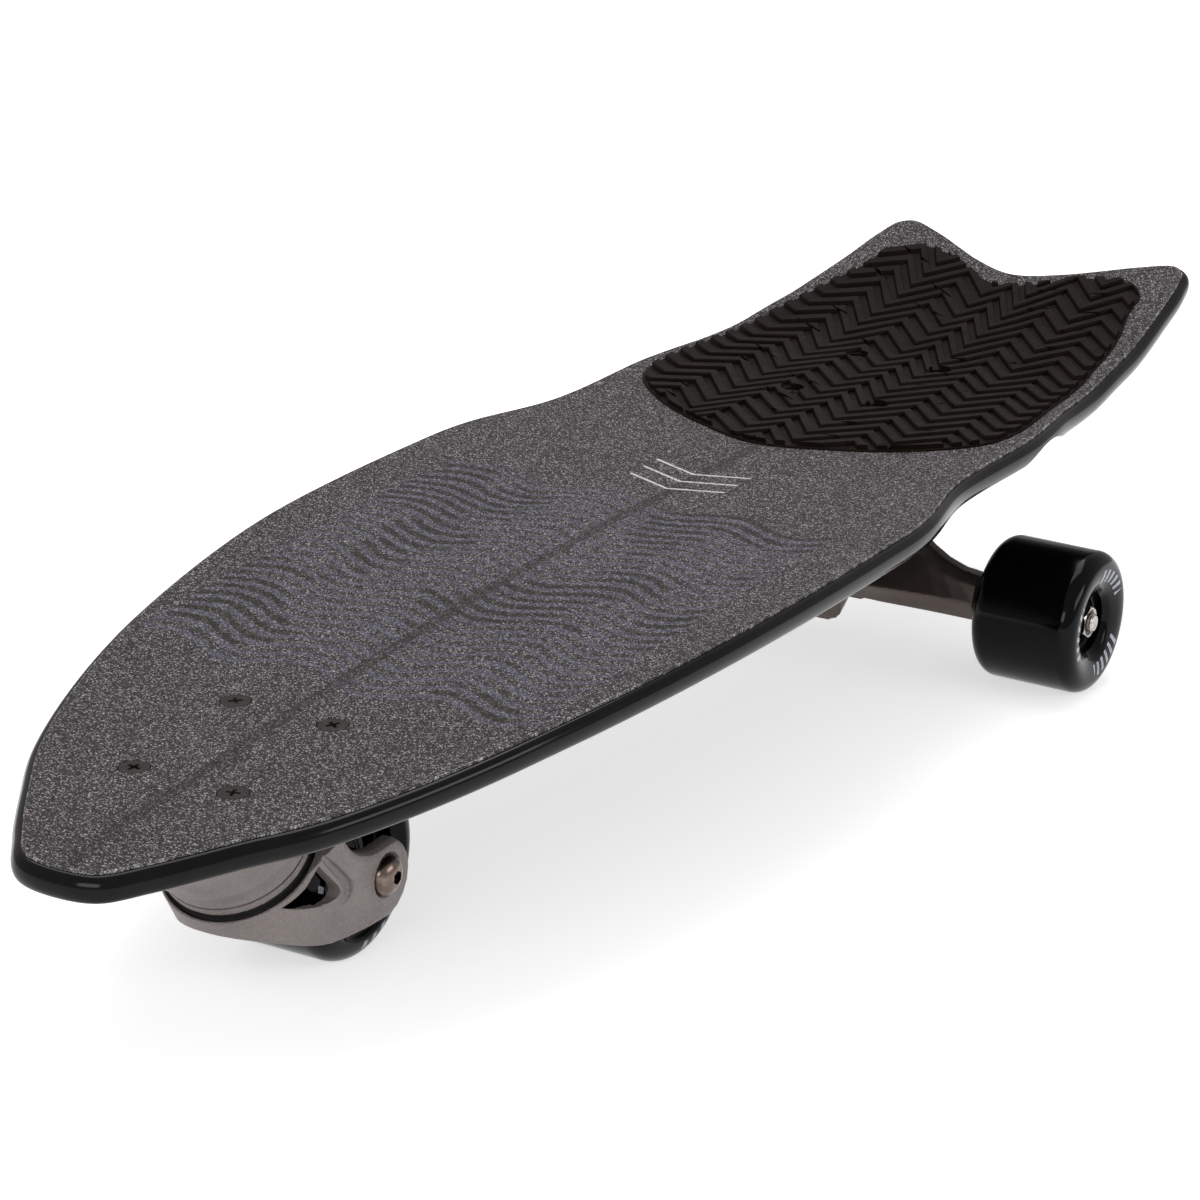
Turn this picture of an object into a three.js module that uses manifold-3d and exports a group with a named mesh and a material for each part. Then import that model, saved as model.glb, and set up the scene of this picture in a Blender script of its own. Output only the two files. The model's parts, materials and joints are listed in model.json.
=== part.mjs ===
import * as THREE from 'three';
import { mergeVertices } from 'three/addons/utils/BufferGeometryUtils.js';
import Module from 'manifold-3d';

// A surf skateboard: a swallow-tailed deck that stands in front on one wheel in a swivelling
// cast fork, and behind on a two-wheel truck. Millimetres, +Z up, nose towards -Y, +X to the
// rider's left. The origin is on the ground, under the middle of the deck.

// Sizes of the deck
const deckLength = 797;
const deckWidth = 227;
const deckThickness = 10;
const noseTopHeight = 80;
const tailTopHeight = 146;
const railReach = 3.3;
const concaveRise = 3.6;
const concaveFlatWidth = 64;
const gripThickness = 0.8;
const wheelWellRadius = 70;
const wheelWellDepth = 6;
const wheelWellReach = 30;
const wheelWellAhead = 17;
const wheelWellOut = 98.7;

// Sizes of the tail pad
const padLength = 270;
const padWidth = 175;
const padThickness = 2.4;
const padBevel = 0.8;
const padToTail = 26;

// Sizes of the screws that hold both trucks
const screwPitchAcross = 41.3;
const screwPitchAlong = 63.5;
const frontScrewsFromNose = 110.5;
const rearScrewsFromTail = 187;
const screwShankRadius = 2.4;
const screwHeadRadius = 5.8;
const screwHeadDepth = 3.2;
const crossRecessLength = 5.6;
const crossRecessWidth = 1.3;
const crossRecessDepth = 1.6;
const nutRadius = 4.7;
const nutThickness = 4;
const blindThreadDepth = 15;

// Sizes of the front wheel
const frontWheelRadius = 36;
const frontWheelWidth = 50;
const frontLipRadius = 8;
const frontMouthRadius = 26;
const frontThroatRadius = 23;
const frontCoreRadius = 24;
const frontCoreWidth = 30;
const frontWebThickness = 14;
const frontHubRadius = 14;
const frontRimThickness = 2.5;
const coreHoleRadius = 3.2;
const coreHoles = 10;

// Sizes of the swivelling fork
const swivelTilt = THREE.MathUtils.degToRad(36);
const swivelAheadOfScrews = 18;
const wheelReach = 29;
const wheelToCrown = 3.2;
const forkWheelGap = 4;
const forkSideGap = 1.8;
const crownRadius = 30;
const legThickness = 7.2;
const forkBevel = 3;
const forkEyeRadius = 15.5;
const forkEyeStart = THREE.MathUtils.degToRad(69);
const forkEyeEnd = THREE.MathUtils.degToRad(-100);
const boltCounterbore = 1;
const boltRadius = 4;
const boltHeadRadius = 8;
const boltHeadHeight = 5.4;
const boltSocketRadius = 2.9;
const boltSocketDepth = 3;
const boltDomeShare = 0.7;

// Sizes of the swivel housing and its bearings
const slitHeight = 2.2;
const housingRadius = 28;
const housingFlareRadius = 38;
const housingFlareHeight = 30;
const housingCollarHeight = 7;
const housingHalfWidth = 34;
const housingWaistRadius = 31.3;
const housingWaistHeight = 7.5;
const housingGroove = 0.8;
const flangeLength = 88;
const flangeWidth = 60;
const flangeCorner = 9;
const flangeThickness = 6;
const swivelPinRadius = 6;
const swivelPinSink = 5.6;
const swivelCollarRadius = 9.5;
const swivelBearingRadius = 17;
const swivelBearingThickness = 6.4;
const swivelWasherThickness = 1.5;
const swivelNutRadius = 8.4;
const swivelNutThickness = 5.5;
const sealWidth = 6;
const topNutCover = 7;

// Sizes of the rear wheels
const rearWheelRadius = 31.7;
const rearWheelWidth = 49;
const rearWheelTrack = 196;
const rearLipRadius = 7;
const rearCoreRadius = 15.5;
const rearCoreWidth = 33;
const rearMouthRadius = 16;
const rearThroatRadius = 13.4;

// Sizes of the small parts on both axles
const wheelBearingRadius = 11;
const wheelBearingBore = 4;
const coreBoreRadius = 8;
const wheelBearingThickness = 7;
const wheelBearingSink = 4;
const washerRadius = 6.4;
const washerThickness = 1;
const axleNutRadius = 7.3;
const axleNutThickness = 6;
const axleRadius = 4;
const axleEnd = 2;

// Sizes of the rear truck
const riserThickness = 15;
const riserLength = 96;
const riserWidth = 60;
const plateThickness = 6;
const plateLength = 86;
const plateWidth = 57;
const plateCorner = 9;
const axleAheadOfScrews = 8.8;
const pivotAheadOfAxle = 24;
const pivotAboveAxle = 0.4;
const ringBehindAxle = 15;
const ringAboveAxle = 27.4;
const ringRadius = 14.5;
const ringThickness = 6;
const ringBore = 6.4;
const kingpinRadius = 4.8;
const kingpinHeadRadius = 7.8;
const kingpinHeadHeight = 6;
const kingpinNutRadius = 8.4;
const kingpinNutThickness = 6.5;
const kingpinBossWall = 6.6;
const kingpinBossRadius = 13;
const boardBushingHeight = 13;
const roadBushingHeight = 11;
const bushingRadius = 12.2;
const bushingWaist = 1.2;
const cupWasherThickness = 2;
const cupWasherRadius = 13;
const bushingPocketRadius = 15.8;
const pivotStudRadius = 7;
const pivotStudLength = 14;
const pivotStudTaper = 2;
const pivotCollarReach = 4;
const pivotCollarLength = 6;
const pivotCupWall = 2;
const pivotBossRadius = 13;
const towerWidth = 22;
const towerBevel = 2;
const towerReach = 12.4;
const towerStart = 2;
const hangerWidth = 132;
const hangerEndBelow = 9;
const hangerEndAbove = 11.5;
const hangerRootAbove = 33;
const hangerRootWidth = 44;
const hangerEndDepth = 19;
const hangerRootDepth = 27;
const hangerShoulderRadius = 6.6;
const hangerBodyWidth = 24;
const hangerBevel = 3;
const hangerKeelDepth = 8;
const hangerKeelLength = 18;
const hangerRingOverlap = 3;
const hangerBackSet = 6;
const hangerBackRise = 3;
const hangerKeelGap = 1;

// Clearances and the overrun that every cut shares
const contactGap = 0.3;
const padGap = 0.5;
const overrun = 1;
const reach = 120;

// The right half of the deck's outline, as shares of half the width and of the length
const deckSideShares = [
  [0, 0], [0.15, 0.0044], [0.259, 0.0232], [0.408, 0.0571], [0.569, 0.0985],
  [0.792, 0.195], [0.975, 0.352], [1, 0.509], [0.981, 0.559], [0.88, 0.628],
  [0.871, 0.722], [0.852, 0.75], [0.826, 0.7786], [0.812, 0.807], [0.8, 0.835], [0.783, 0.868],
  [0.765, 0.9], [0.732, 0.9417], [0.703, 0.9768], [0.67, 0.993],
];
const deckTailShare = [0.59, 1];
const deckNotchShares = [[0, 0.9598], [0.176, 0.969], [0.308, 0.9805], [0.44, 0.992]];

// The rise of the deck's middle line from nose to tail, as shares of the length and of the rise
const deckRiseShares = [
  [0, 0], [0.0571, 0.091], [0.086, 0.12], [0.1386, 0.185], [0.191, 0.25], [0.2265, 0.291],
  [0.352, 0.4], [0.4335, 0.439], [0.559, 0.477], [0.712, 0.5136], [0.765, 0.534],
  [0.8176, 0.5545], [0.8538, 0.611], [0.8915, 0.674], [0.9417, 0.803], [0.9768, 0.909], [1, 0.985],
];

// The right half of the pad's outline, as shares of half its width and of its length
const padSideShares = [
  [0, 0], [0.343, 0.039], [0.674, 0.1035], [0.937, 0.192], [1, 0.27], [0.96, 0.477],
  [0.945, 0.545], [0.927, 0.61], [0.905, 0.674], [0.88, 0.739], [0.84, 0.81],
  [0.777, 0.887], [0.743, 0.961], [0.686, 0.983],
];
const padTailShare = [0.583, 1];
const padNotchShares = [[0, 0.911], [0.229, 0.95], [0.354, 0.983], [0.47, 0.994]];

// Where the sheets' facets split between the middle line and the rail, as shares of the way out
const columnShares = [0, 0.36, 0.7, 1];

// The fork's side view about the wheel's centre, as shares of the wheel's radius
const forkCrownShares = [[-1.15, 1.25], [-0.9, 0.79]];
const forkHollowShares = [[-0.69, 0.52], [-0.46, 0.37], [-0.17, 0.31], [0.1, 0.33]];
const forkEyeShare = [0.04, -0.07];
const forkFootShares = [[-0.33, -0.5], [-0.69, -0.51], [-1.06, -0.46], [-1.5, -0.33], [-1.85, -0.24]];
const forkNoseShare = [-2.35, 0.2];
const forkWindowShares = [
  [-1.2, 0.34], [-0.86, 0.11], [-0.86, 0.02], [-1.05, -0.02], [-1.52, 0.07], [-1.4, 0.19],
];

// The pivot tower's side view about the pivot, as shares of its reach and of its height
const towerBackShare = 1.1;
const towerShares = [
  [0.7, 0.62], [0.22, 0.42], [-0.1, 0.22], [-0.3, 0], [-1, 0], [-1.35, 0.3], [-1.1, 0.7],
];

// The hanger's arm, as shares of its ridge's width at the end and the root, and of its height
const armTopShares = [0.75, 0.4];
const armShoulderShare = 0.7;
const armStepShares = [1, 0.8, 0.6, 0.4, 0.2, 0];
const hangerFootShare = 0.6;
const hangerBackShare = 0.7;

// Counts of facets
const spanSteps = 2;
const wheelSides = 32;
const roundSides = 18;
const smallSides = 10;
const hexSides = 6;
const lipSteps = 3;
const curveSteps = 4;
const cornerSteps = 4;
const crownSteps = 18;
const bevelSteps = 2;
const drumSides = 48;
const railSteps = 4;

// Where the main parts lie along the deck
const deckMiddle = deckLength / 2;
const frontScrewsPlace = frontScrewsFromNose - deckMiddle;
const rearScrewsPlace = deckMiddle - rearScrewsFromTail;
const legInside = frontWheelWidth / 2 + forkSideGap;
const legOutside = legInside + legThickness;
const frontClearRadius = frontWheelRadius + forkWheelGap;

// Colours
const finish = (color, roughness, metalness) => (
  new THREE.MeshStandardMaterial({ color, roughness, metalness }));
const lacquer = finish(0x0c0c0d, 0.25, 0);
const grit = finish(0x3f3f42, 0.95, 0);
const padRubber = finish(0x211d1b, 0.75, 0);
const castMetal = finish(0x8f8785, 0.5, 0.9);
const hangerMetal = finish(0x5a514e, 0.4, 0.9);
const blackSteel = finish(0x1d1c1c, 0.45, 0.8);
const brightSteel = finish(0xb9b6b2, 0.28, 1);
const urethane = finish(0x070708, 0.18, 0);
const corePlastic = finish(0x141415, 0.45, 0);
const blackRubber = finish(0x111111, 0.8, 0);

const wasm = await Module();
wasm.setup();

// Solids and placing

function weld(geometry) {
  geometry.deleteAttribute('normal');
  geometry.deleteAttribute('uv');
  const merged = mergeVertices(geometry);
  const corners = Array.from(merged.index.array);
  const kept = [];
  for (let i = 0; i < corners.length; i += 3) {
    const [a, b, c] = corners.slice(i, i + 3);
    if (a !== b && b !== c && c !== a) kept.push(a, b, c);
  }
  merged.setIndex(kept);
  return merged;
}

function solidOf(geometry) {
  const welded = weld(geometry);
  const vertProperties = new Float32Array(welded.attributes.position.array);
  const triVerts = new Uint32Array(welded.index.array);
  return new wasm.Manifold(new wasm.Mesh({ numProp: 3, vertProperties, triVerts }));
}

function geometryOf(solid) {
  const { vertProperties, triVerts } = solid.getMesh();
  const geometry = new THREE.BufferGeometry();
  geometry.setAttribute('position', new THREE.BufferAttribute(vertProperties, 3));
  geometry.setIndex(new THREE.BufferAttribute(triVerts, 1));
  geometry.computeVertexNormals();
  return geometry;
}

function carve(blank, joins, cuts) {
  let solid = solidOf(blank);
  for (const piece of joins) solid = solid.add(solidOf(piece));
  for (const piece of cuts) solid = solid.subtract(solidOf(piece));
  return geometryOf(solid);
}

function piece(name, geometry, material) {
  const mesh = new THREE.Mesh(geometry, material);
  mesh.name = name;
  return mesh;
}

// A turned body about +Z from a closed list of radius and height pairs
function turned(outline, sides) {
  const points = outline.map(([radius, height]) => new THREE.Vector2(radius, height));
  if (THREE.ShapeUtils.area(points) < 0) points.reverse();
  points.push(points[0].clone());
  const geometry = new THREE.LatheGeometry(points, sides);
  return geometry.rotateX(Math.PI / 2);
}

function rod(radius, bottom, top, sides = roundSides) {
  return turned([[0, bottom], [radius, bottom], [radius, top], [0, top]], sides);
}

function ring(outer, inner, bottom, top, sides = roundSides) {
  return turned([[inner, bottom], [outer, bottom], [outer, top], [inner, top]], sides);
}

const turnToX = (geometry) => geometry.rotateY(Math.PI / 2);
const moved = (geometry, x, y, z) => geometry.translate(x, y, z);

// A side-view outline, drawn as places along and heights, made solid across the middle plane
function acrossBoard(shape, width, bevel) {
  const options = { bevelEnabled: bevel > 0, bevelSize: bevel, bevelOffset: -bevel, bevelThickness: bevel,
    bevelSegments: bevelSteps, curveSegments: curveSteps, depth: width - 2 * bevel };
  const geometry = new THREE.ExtrudeGeometry(shape, options);
  geometry.translate(0, 0, bevel - width / 2);
  const basis = new THREE.Matrix4().makeBasis(
    new THREE.Vector3(0, 1, 0), new THREE.Vector3(0, 0, 1), new THREE.Vector3(1, 0, 0));
  return geometry.applyMatrix4(basis);
}

// A plate with round corners whose top face lies at the given height
function roundedPlate(width, length, thickness, corner, top) {
  const w = width / 2 - corner;
  const l = length / 2 - corner;
  const shape = new THREE.Shape();
  shape.absarc(w, l, corner, 0, Math.PI / 2);
  shape.absarc(-w, l, corner, Math.PI / 2, Math.PI);
  shape.absarc(-w, -l, corner, Math.PI, 1.5 * Math.PI);
  shape.absarc(w, -l, corner, 1.5 * Math.PI, 2 * Math.PI);
  const options = { depth: thickness, bevelEnabled: false, curveSegments: cornerSteps };
  const geometry = new THREE.ExtrudeGeometry(shape, options);
  return moved(geometry, 0, 0, top - thickness);
}

function polygon(points) {
  return new THREE.Shape(points.map(([along, height]) => new THREE.Vector2(along, height)));
}

// A body skinned over rings that all have the same number of corners
function skin(rings) {
  const corners = [];
  const put = (...places) => places.forEach((place) => corners.push(...place));
  const last = rings.length - 1;
  const count = rings[0].length;
  for (let i = 0; i < last; i += 1) {
    for (let j = 0; j < count; j += 1) {
      const k = (j + 1) % count;
      put(rings[i][j], rings[i][k], rings[i + 1][k]);
      put(rings[i][j], rings[i + 1][k], rings[i + 1][j]);
    }
  }
  for (let j = 1; j < count - 1; j += 1) {
    put(rings[0][0], rings[0][j + 1], rings[0][j]);
    put(rings[last][0], rings[last][j], rings[last][j + 1]);
  }
  const geometry = new THREE.BufferGeometry();
  geometry.setAttribute('position', new THREE.Float32BufferAttribute(corners, 3));
  return geometry;
}

// Heights of the deck

// A smooth reading between the rows of a table of pairs
function smoothRow(table, place) {
  const at = (i) => table[Math.min(Math.max(i, 0), table.length - 1)];
  const slope = (i) => (at(i + 1)[1] - at(i - 1)[1]) / (at(i + 1)[0] - at(i - 1)[0]);
  let row = table.findIndex(([start], i) => i > 0 && place <= start) - 1;
  if (row < 0) row = place <= table[0][0] ? 0 : table.length - 2;
  const [start, from] = table[row];
  const [end, to] = table[row + 1];
  const span = end - start;
  const t = (place - start) / span;
  const bend = t * t * (3 - 2 * t);
  const lead = t * (1 - t) * (1 - t) * span * slope(row);
  const trail = t * t * (1 - t) * span * slope(row + 1);
  return from + (to - from) * bend + lead - trail;
}

function deckTop(x, y) {
  const share = smoothRow(deckRiseShares, (y + deckMiddle) / deckLength);
  const middle = noseTopHeight + (tailTopHeight - noseTopHeight) * share;
  const flat = concaveFlatWidth / 2;
  const out = Math.max(0, Math.abs(x) - flat) / (deckWidth / 2 - flat);
  return middle + concaveRise * out * out;
}

// The flat seat under the deck at a screw pattern: its middle height and its slope
function seatAt(place) {
  const half = screwPitchAlong / 2;
  const rise = deckTop(0, place + half) - deckTop(0, place - half);
  return { height: deckTop(0, place) - deckThickness - contactGap, slope: Math.atan2(rise, screwPitchAlong) };
}

// The closed outline of a swallow-tailed sheet as a smooth loop through its shared points
function swallowLoop(side, tail, notch, width, length, start) {
  const right = [...side, tail, ...notch.slice().reverse()];
  const left = right.slice(1, -1).reverse().map(([x, y]) => [-x, y]);
  const place = ([x, y]) => new THREE.Vector3(x * width / 2, start + y * length, 0);
  return new THREE.CatmullRomCurve3([...right, ...left].map(place), true, 'centripetal');
}

// A sheet that follows the deck: both halves are lofted from the middle line, or past the
// notch's root from the notch's edge, out to the rail
function sheet({ side, tail, notch, width, length, start, margin, section, base, thickness }) {
  const loop = swallowLoop(side, tail, notch, width, length, start);
  const spans = 2 * (side.length + notch.length);
  const edge = (step, inset) => {
    const t = step / (spans * spanSteps);
    const point = loop.getPoint(t);
    const along = loop.getTangent(t);
    const inward = new THREE.Vector2(-along.y, along.x).normalize();
    return new THREE.Vector2(point.x, point.y).addScaledVector(inward, margin + inset);
  };
  const tailStep = side.length * spanSteps;
  const lobeSteps = notch.length * spanSteps;
  const topInset = section[0][0];
  const lift = (spot, rise) => [Math.max(spot.x, 0), spot.y, base(spot.x, spot.y) + rise * thickness];
  const loops = [];
  for (let step = 0; step <= tailStep; step += 1) {
    const outer = edge(step, topInset);
    const past = step - (tailStep - lobeSteps);
    const notchStep = tailStep + lobeSteps - Math.max(past, 0);
    const inner = past < 0 ? new THREE.Vector2(0, outer.y) : edge(notchStep, topInset);
    const row = columnShares.map((share) => inner.clone().lerp(outer, share));
    const outerRail = section.slice(1, -1).map(([inset, rise]) => lift(edge(step, inset), rise));
    const innerRail = section.slice(1, -1).map(([inset, rise]) => lift(edge(notchStep, inset), rise));
    const [, bottomRise] = section[section.length - 1];
    const under = section[section.length - 1][0] === topInset ? row : columnShares.map((share) => {
      const bottomInset = section[section.length - 1][0];
      const far = edge(step, bottomInset);
      const near = past < 0 ? new THREE.Vector2(0, far.y) : edge(notchStep, bottomInset);
      return near.clone().lerp(far, share);
    });
    const loopRow = [...row.map((spot) => lift(spot, 1)), ...outerRail,
      ...under.slice().reverse().map((spot) => lift(spot, bottomRise))];
    loops.push({ row: loopRow, rail: past < 0 ? null : innerRail.reverse() });
  }
  const corners = [];
  const face = (...places) => {
    for (const [x, y, z] of places) corners.push(x, y, z);
    for (const [x, y, z] of places.slice().reverse()) corners.push(-x, y, z);
  };
  const band = (near, far) => {
    for (let j = 0; j < near.length - 1; j += 1) {
      face(near[j], near[j + 1], far[j + 1]);
      face(near[j], far[j + 1], far[j]);
    }
  };
  for (let i = 0; i < loops.length - 1; i += 1) {
    band(loops[i].row, loops[i + 1].row);
    if (loops[i].rail) {
      const wall = ({ row, rail }) => [row[row.length - 1], ...rail, row[0]];
      band(wall(loops[i]), wall(loops[i + 1]));
    }
  }
  const geometry = new THREE.BufferGeometry();
  geometry.setAttribute('position', new THREE.Float32BufferAttribute(corners, 3));
  return geometry;
}

// Screws

const patternSpots = [[1, -1], [-1, -1], [1, 1], [-1, 1]].map(([x, y]) => (
  [x * screwPitchAcross / 2, y * screwPitchAlong / 2]));

// Seats a geometry made about the origin on the deck's top at a screw's spot
function onSlope(geometry, x, place, y, height, slope) {
  geometry.rotateX(slope);
  const along = y * Math.cos(slope);
  return moved(geometry, x, place + along, height + y * Math.sin(slope));
}

// The room that a screw's head and shank need, from above the head to below the deck
function screwRoom(headTop) {
  const gap = contactGap;
  const wide = screwHeadRadius + gap;
  const narrow = screwShankRadius + gap;
  return turned([[0, -reach], [narrow, -reach], [narrow, headTop - screwHeadDepth],
    [wide, headTop], [wide, headTop + screwHeadRadius], [0, headTop + screwHeadRadius]], smallSides);
}

function screw(length) {
  const recess = (turn) => (
    new THREE.BoxGeometry(crossRecessLength, crossRecessWidth, 2 * crossRecessDepth).rotateZ(turn));
  const blank = turned([[0, -length], [screwShankRadius, -length], [screwShankRadius, -screwHeadDepth],
    [screwHeadRadius, 0], [0, 0]], smallSides);
  return carve(blank, [], [recess(0), recess(Math.PI / 2)]);
}

// A hexagon nut with a round bore, its top face on the origin
function hexNut(radius, bore, thickness, sides = smallSides) {
  const hole = rod(bore + contactGap, -reach, reach, sides);
  return carve(rod(radius, -thickness, 0, hexSides), [], [hole]);
}

// Deck, grip and pad

const frontSeat = seatAt(frontScrewsPlace);
const rearSeat = seatAt(rearScrewsPlace);
const headTopFront = gripThickness + contactGap;
const headTopRear = headTopFront + padGap + padThickness;
const aboveSeat = deckThickness + contactGap;

function screwRooms(place, seat, headTop) {
  return patternSpots.map(([x, y]) => onSlope(
    screwRoom(aboveSeat + headTop), x, place, y, seat.height, seat.slope));
}

const railSection = Array.from({ length: railSteps + 1 }, (_, i) => {
  const angle = Math.PI * (0.5 - i / railSteps);
  return [railReach * (1 - Math.cos(angle)), (1 + Math.sin(angle)) / 2];
});

const deckOutline = { side: deckSideShares, tail: deckTailShare, notch: deckNotchShares,
  width: deckWidth, length: deckLength, start: -deckMiddle };

// A sanding drum that scoops the lower rail above a rear wheel
function wheelWell(side) {
  const tilt = Math.atan2(wheelWellDepth, wheelWellReach);
  const drum = turnToX(rod(wheelWellRadius, -wheelWellReach, wheelWellReach, drumSides));
  drum.translate(0, 0, wheelWellDepth - wheelWellRadius);
  drum.rotateY(-side * tilt);
  const place = rearScrewsPlace - wheelWellAhead;
  return moved(drum, side * wheelWellOut, place, deckTop(wheelWellOut, place) - deckThickness);
}

function deck() {
  const blank = sheet({ ...deckOutline, margin: 0, section: railSection,
    base: (x, y) => deckTop(x, y) - deckThickness, thickness: deckThickness });
  return carve(blank, [], [
    ...screwRooms(frontScrewsPlace, frontSeat, headTopFront),
    ...screwRooms(rearScrewsPlace, rearSeat, headTopRear),
    wheelWell(1), wheelWell(-1),
  ]);
}

function grip() {
  const blank = sheet({ ...deckOutline, margin: railReach + contactGap, section: [[0, 1], [0, 0]],
    base: (x, y) => deckTop(x, y) + contactGap, thickness: gripThickness });
  return carve(blank, [], [
    ...screwRooms(frontScrewsPlace, frontSeat, headTopFront),
    ...screwRooms(rearScrewsPlace, rearSeat, headTopRear),
  ]);
}

function pad() {
  const section = [[padBevel, 1], [0, 1 - padBevel / padThickness], [0, 0]];
  const blank = sheet({ side: padSideShares, tail: padTailShare, notch: padNotchShares,
    width: padWidth, length: padLength, start: deckMiddle - padToTail - padLength, margin: 0, section,
    base: (x, y) => deckTop(x, y) + contactGap + gripThickness + padGap, thickness: padThickness });
  return carve(blank, [], screwRooms(rearScrewsPlace, rearSeat, headTopRear));
}

// Wheels, all turned about +Z and then laid along X

// One half of a tyre's outline from its mouth to its tread, the other half mirrored
function tyre(radius, width, lip, mouth, throat, coreRadius, coreWidth) {
  const half = width / 2;
  const room = coreWidth / 2 + contactGap;
  const lipPoints = Array.from({ length: lipSteps + 1 }, (_, i) => {
    const angle = Math.PI / 2 * i / lipSteps;
    return [radius - lip + lip * Math.sin(angle), half - lip + lip * Math.cos(angle)];
  });
  const bore = coreRadius + contactGap;
  const right = [[bore, room], [throat, room], [mouth, half], ...lipPoints];
  const left = right.map(([r, h]) => [r, -h]).reverse();
  return turnToX(turned([...right, ...left], wheelSides)).rotateX(Math.PI / wheelSides);
}

function plainCore(radius, width) {
  const seat = wheelBearingRadius + contactGap;
  const half = width / 2;
  const stop = half - wheelBearingThickness - wheelBearingSink;
  const right = [[coreBoreRadius, stop], [seat, stop], [seat, half], [radius, half]];
  const left = right.map(([r, h]) => [r, -h]).reverse();
  return turned([...right, ...left], roundSides);
}

// The front core: a hub and a rim joined by a web with a circle of round holes
function holedCore() {
  const rim = frontCoreRadius - frontRimThickness;
  const seat = wheelBearingRadius + contactGap;
  const half = frontCoreWidth / 2;
  const web = frontWebThickness / 2;
  const stop = half - wheelBearingThickness;
  const right = [[coreBoreRadius, stop], [seat, stop], [seat, half], [frontHubRadius, half],
    [frontHubRadius, web], [rim, web], [rim, half], [frontCoreRadius, half]];
  const left = right.map(([r, h]) => [r, -h]).reverse();
  const blank = turned([...right, ...left], roundSides);
  const circle = (frontHubRadius + rim) / 2;
  const holes = Array.from({ length: coreHoles }, (_, i) => {
    const angle = 2 * Math.PI * i / coreHoles;
    return moved(rod(coreHoleRadius, -half, half, smallSides),
      circle * Math.cos(angle), circle * Math.sin(angle), 0);
  });
  return turnToX(carve(blank, [], holes));
}

function wheelBearing() {
  const half = wheelBearingThickness / 2;
  return turnToX(ring(wheelBearingRadius, wheelBearingBore + contactGap, -half, half));
}

function washer() {
  const half = washerThickness / 2;
  return turnToX(ring(washerRadius, axleRadius + contactGap, -half, half, smallSides));
}

// The front fork, in the swivel's own frame: +Z is the swivel axis, upwards from the crown's top

const wheelDrop = frontWheelRadius + wheelToCrown;
const wheelFrame = () => new THREE.Matrix4()
  .makeRotationX(-swivelTilt)
  .setPosition(0, wheelReach, -wheelDrop);

const atRadius = ([x, y]) => new THREE.Vector2(x * frontWheelRadius, y * frontWheelRadius);

function forkSide() {
  const [crownTop, crownFoot] = forkCrownShares.map(atRadius);
  const eye = atRadius(forkEyeShare);
  const nose = atRadius(forkNoseShare);
  const shape = new THREE.Shape();
  shape.moveTo(crownTop.x, crownTop.y);
  shape.lineTo(crownFoot.x, crownFoot.y);
  shape.splineThru(forkHollowShares.map(atRadius));
  shape.absarc(eye.x, eye.y, forkEyeRadius, forkEyeStart, forkEyeEnd, true);
  shape.splineThru(forkFootShares.map(atRadius));
  shape.lineTo(nose.x, nose.y);
  return shape;
}

// The triangular window in each leg
function forkWindow(side) {
  const shape = new THREE.Shape(forkWindowShares.map(atRadius));
  const cut = acrossBoard(shape, 2 * legThickness, 0);
  return cut.applyMatrix4(wheelFrame()).translate(side * legOutside, 0, 0);
}

// What the crown looks like from along the swivel axis: round in front, widening to the legs
function crownPlan() {
  const shape = new THREE.Shape();
  shape.moveTo(legOutside, reach);
  shape.lineTo(-legOutside, reach);
  shape.lineTo(-legOutside, wheelReach / 2);
  shape.lineTo(-crownRadius, 0);
  shape.absarc(0, 0, crownRadius, Math.PI, 2 * Math.PI);
  shape.lineTo(legOutside, wheelReach / 2);
  const options = { depth: reach, bevelEnabled: false, curveSegments: crownSteps };
  return moved(new THREE.ExtrudeGeometry(shape, options), 0, 0, -reach);
}

function atWheel(geometry) {
  return turnToX(geometry).translate(0, wheelReach, -wheelDrop);
}

function fork() {
  const side = acrossBoard(forkSide(), 2 * legOutside, forkBevel).applyMatrix4(wheelFrame());
  const above = moved(new THREE.BoxGeometry(2 * reach, 2 * reach, reach), 0, 0, reach / 2);
  const solid = solidOf(side).intersect(solidOf(crownPlan()));
  const seatStart = legOutside - boltCounterbore;
  const cuts = [
    above, atWheel(rod(frontClearRadius, -legInside, legInside, drumSides)),
    atWheel(rod(boltRadius + contactGap, -reach, reach, smallSides)),
    atWheel(rod(boltHeadRadius + 2 * contactGap, seatStart, reach)),
    atWheel(rod(boltHeadRadius + 2 * contactGap, -reach, -seatStart)),
    rod(swivelPinRadius + contactGap, -swivelPinSink - contactGap, reach),
    forkWindow(1), forkWindow(-1),
  ];
  return geometryOf(cuts.reduce((rest, cut) => rest.subtract(solidOf(cut)), solid));
}

// The swivel housing: a flared wedge on a flange that follows the deck's slope

const swivelPlace = frontScrewsPlace - swivelAheadOfScrews;
const swivelSeatHeight = frontSeat.height - swivelAheadOfScrews * Math.tan(frontSeat.slope);
const axleHeight = frontWheelRadius * Math.cos(Math.PI / wheelSides);
const housingHeight = (swivelSeatHeight + wheelReach * Math.sin(swivelTilt) - axleHeight)
  / Math.cos(swivelTilt) - wheelDrop;
const crownPlace = swivelPlace + housingHeight * Math.sin(swivelTilt);
const crownHeight = swivelSeatHeight - housingHeight * Math.cos(swivelTilt);
const seatTurn = frontSeat.slope - swivelTilt;

// The deck's seat seen in the swivel's frame, with its origin at the screw pattern's middle
const seatFrame = () => new THREE.Matrix4().makeTranslation(0, 0, housingHeight)
  .multiply(new THREE.Matrix4().makeRotationX(seatTurn))
  .multiply(new THREE.Matrix4().makeTranslation(0, swivelAheadOfScrews / Math.cos(frontSeat.slope), 0));

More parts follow.
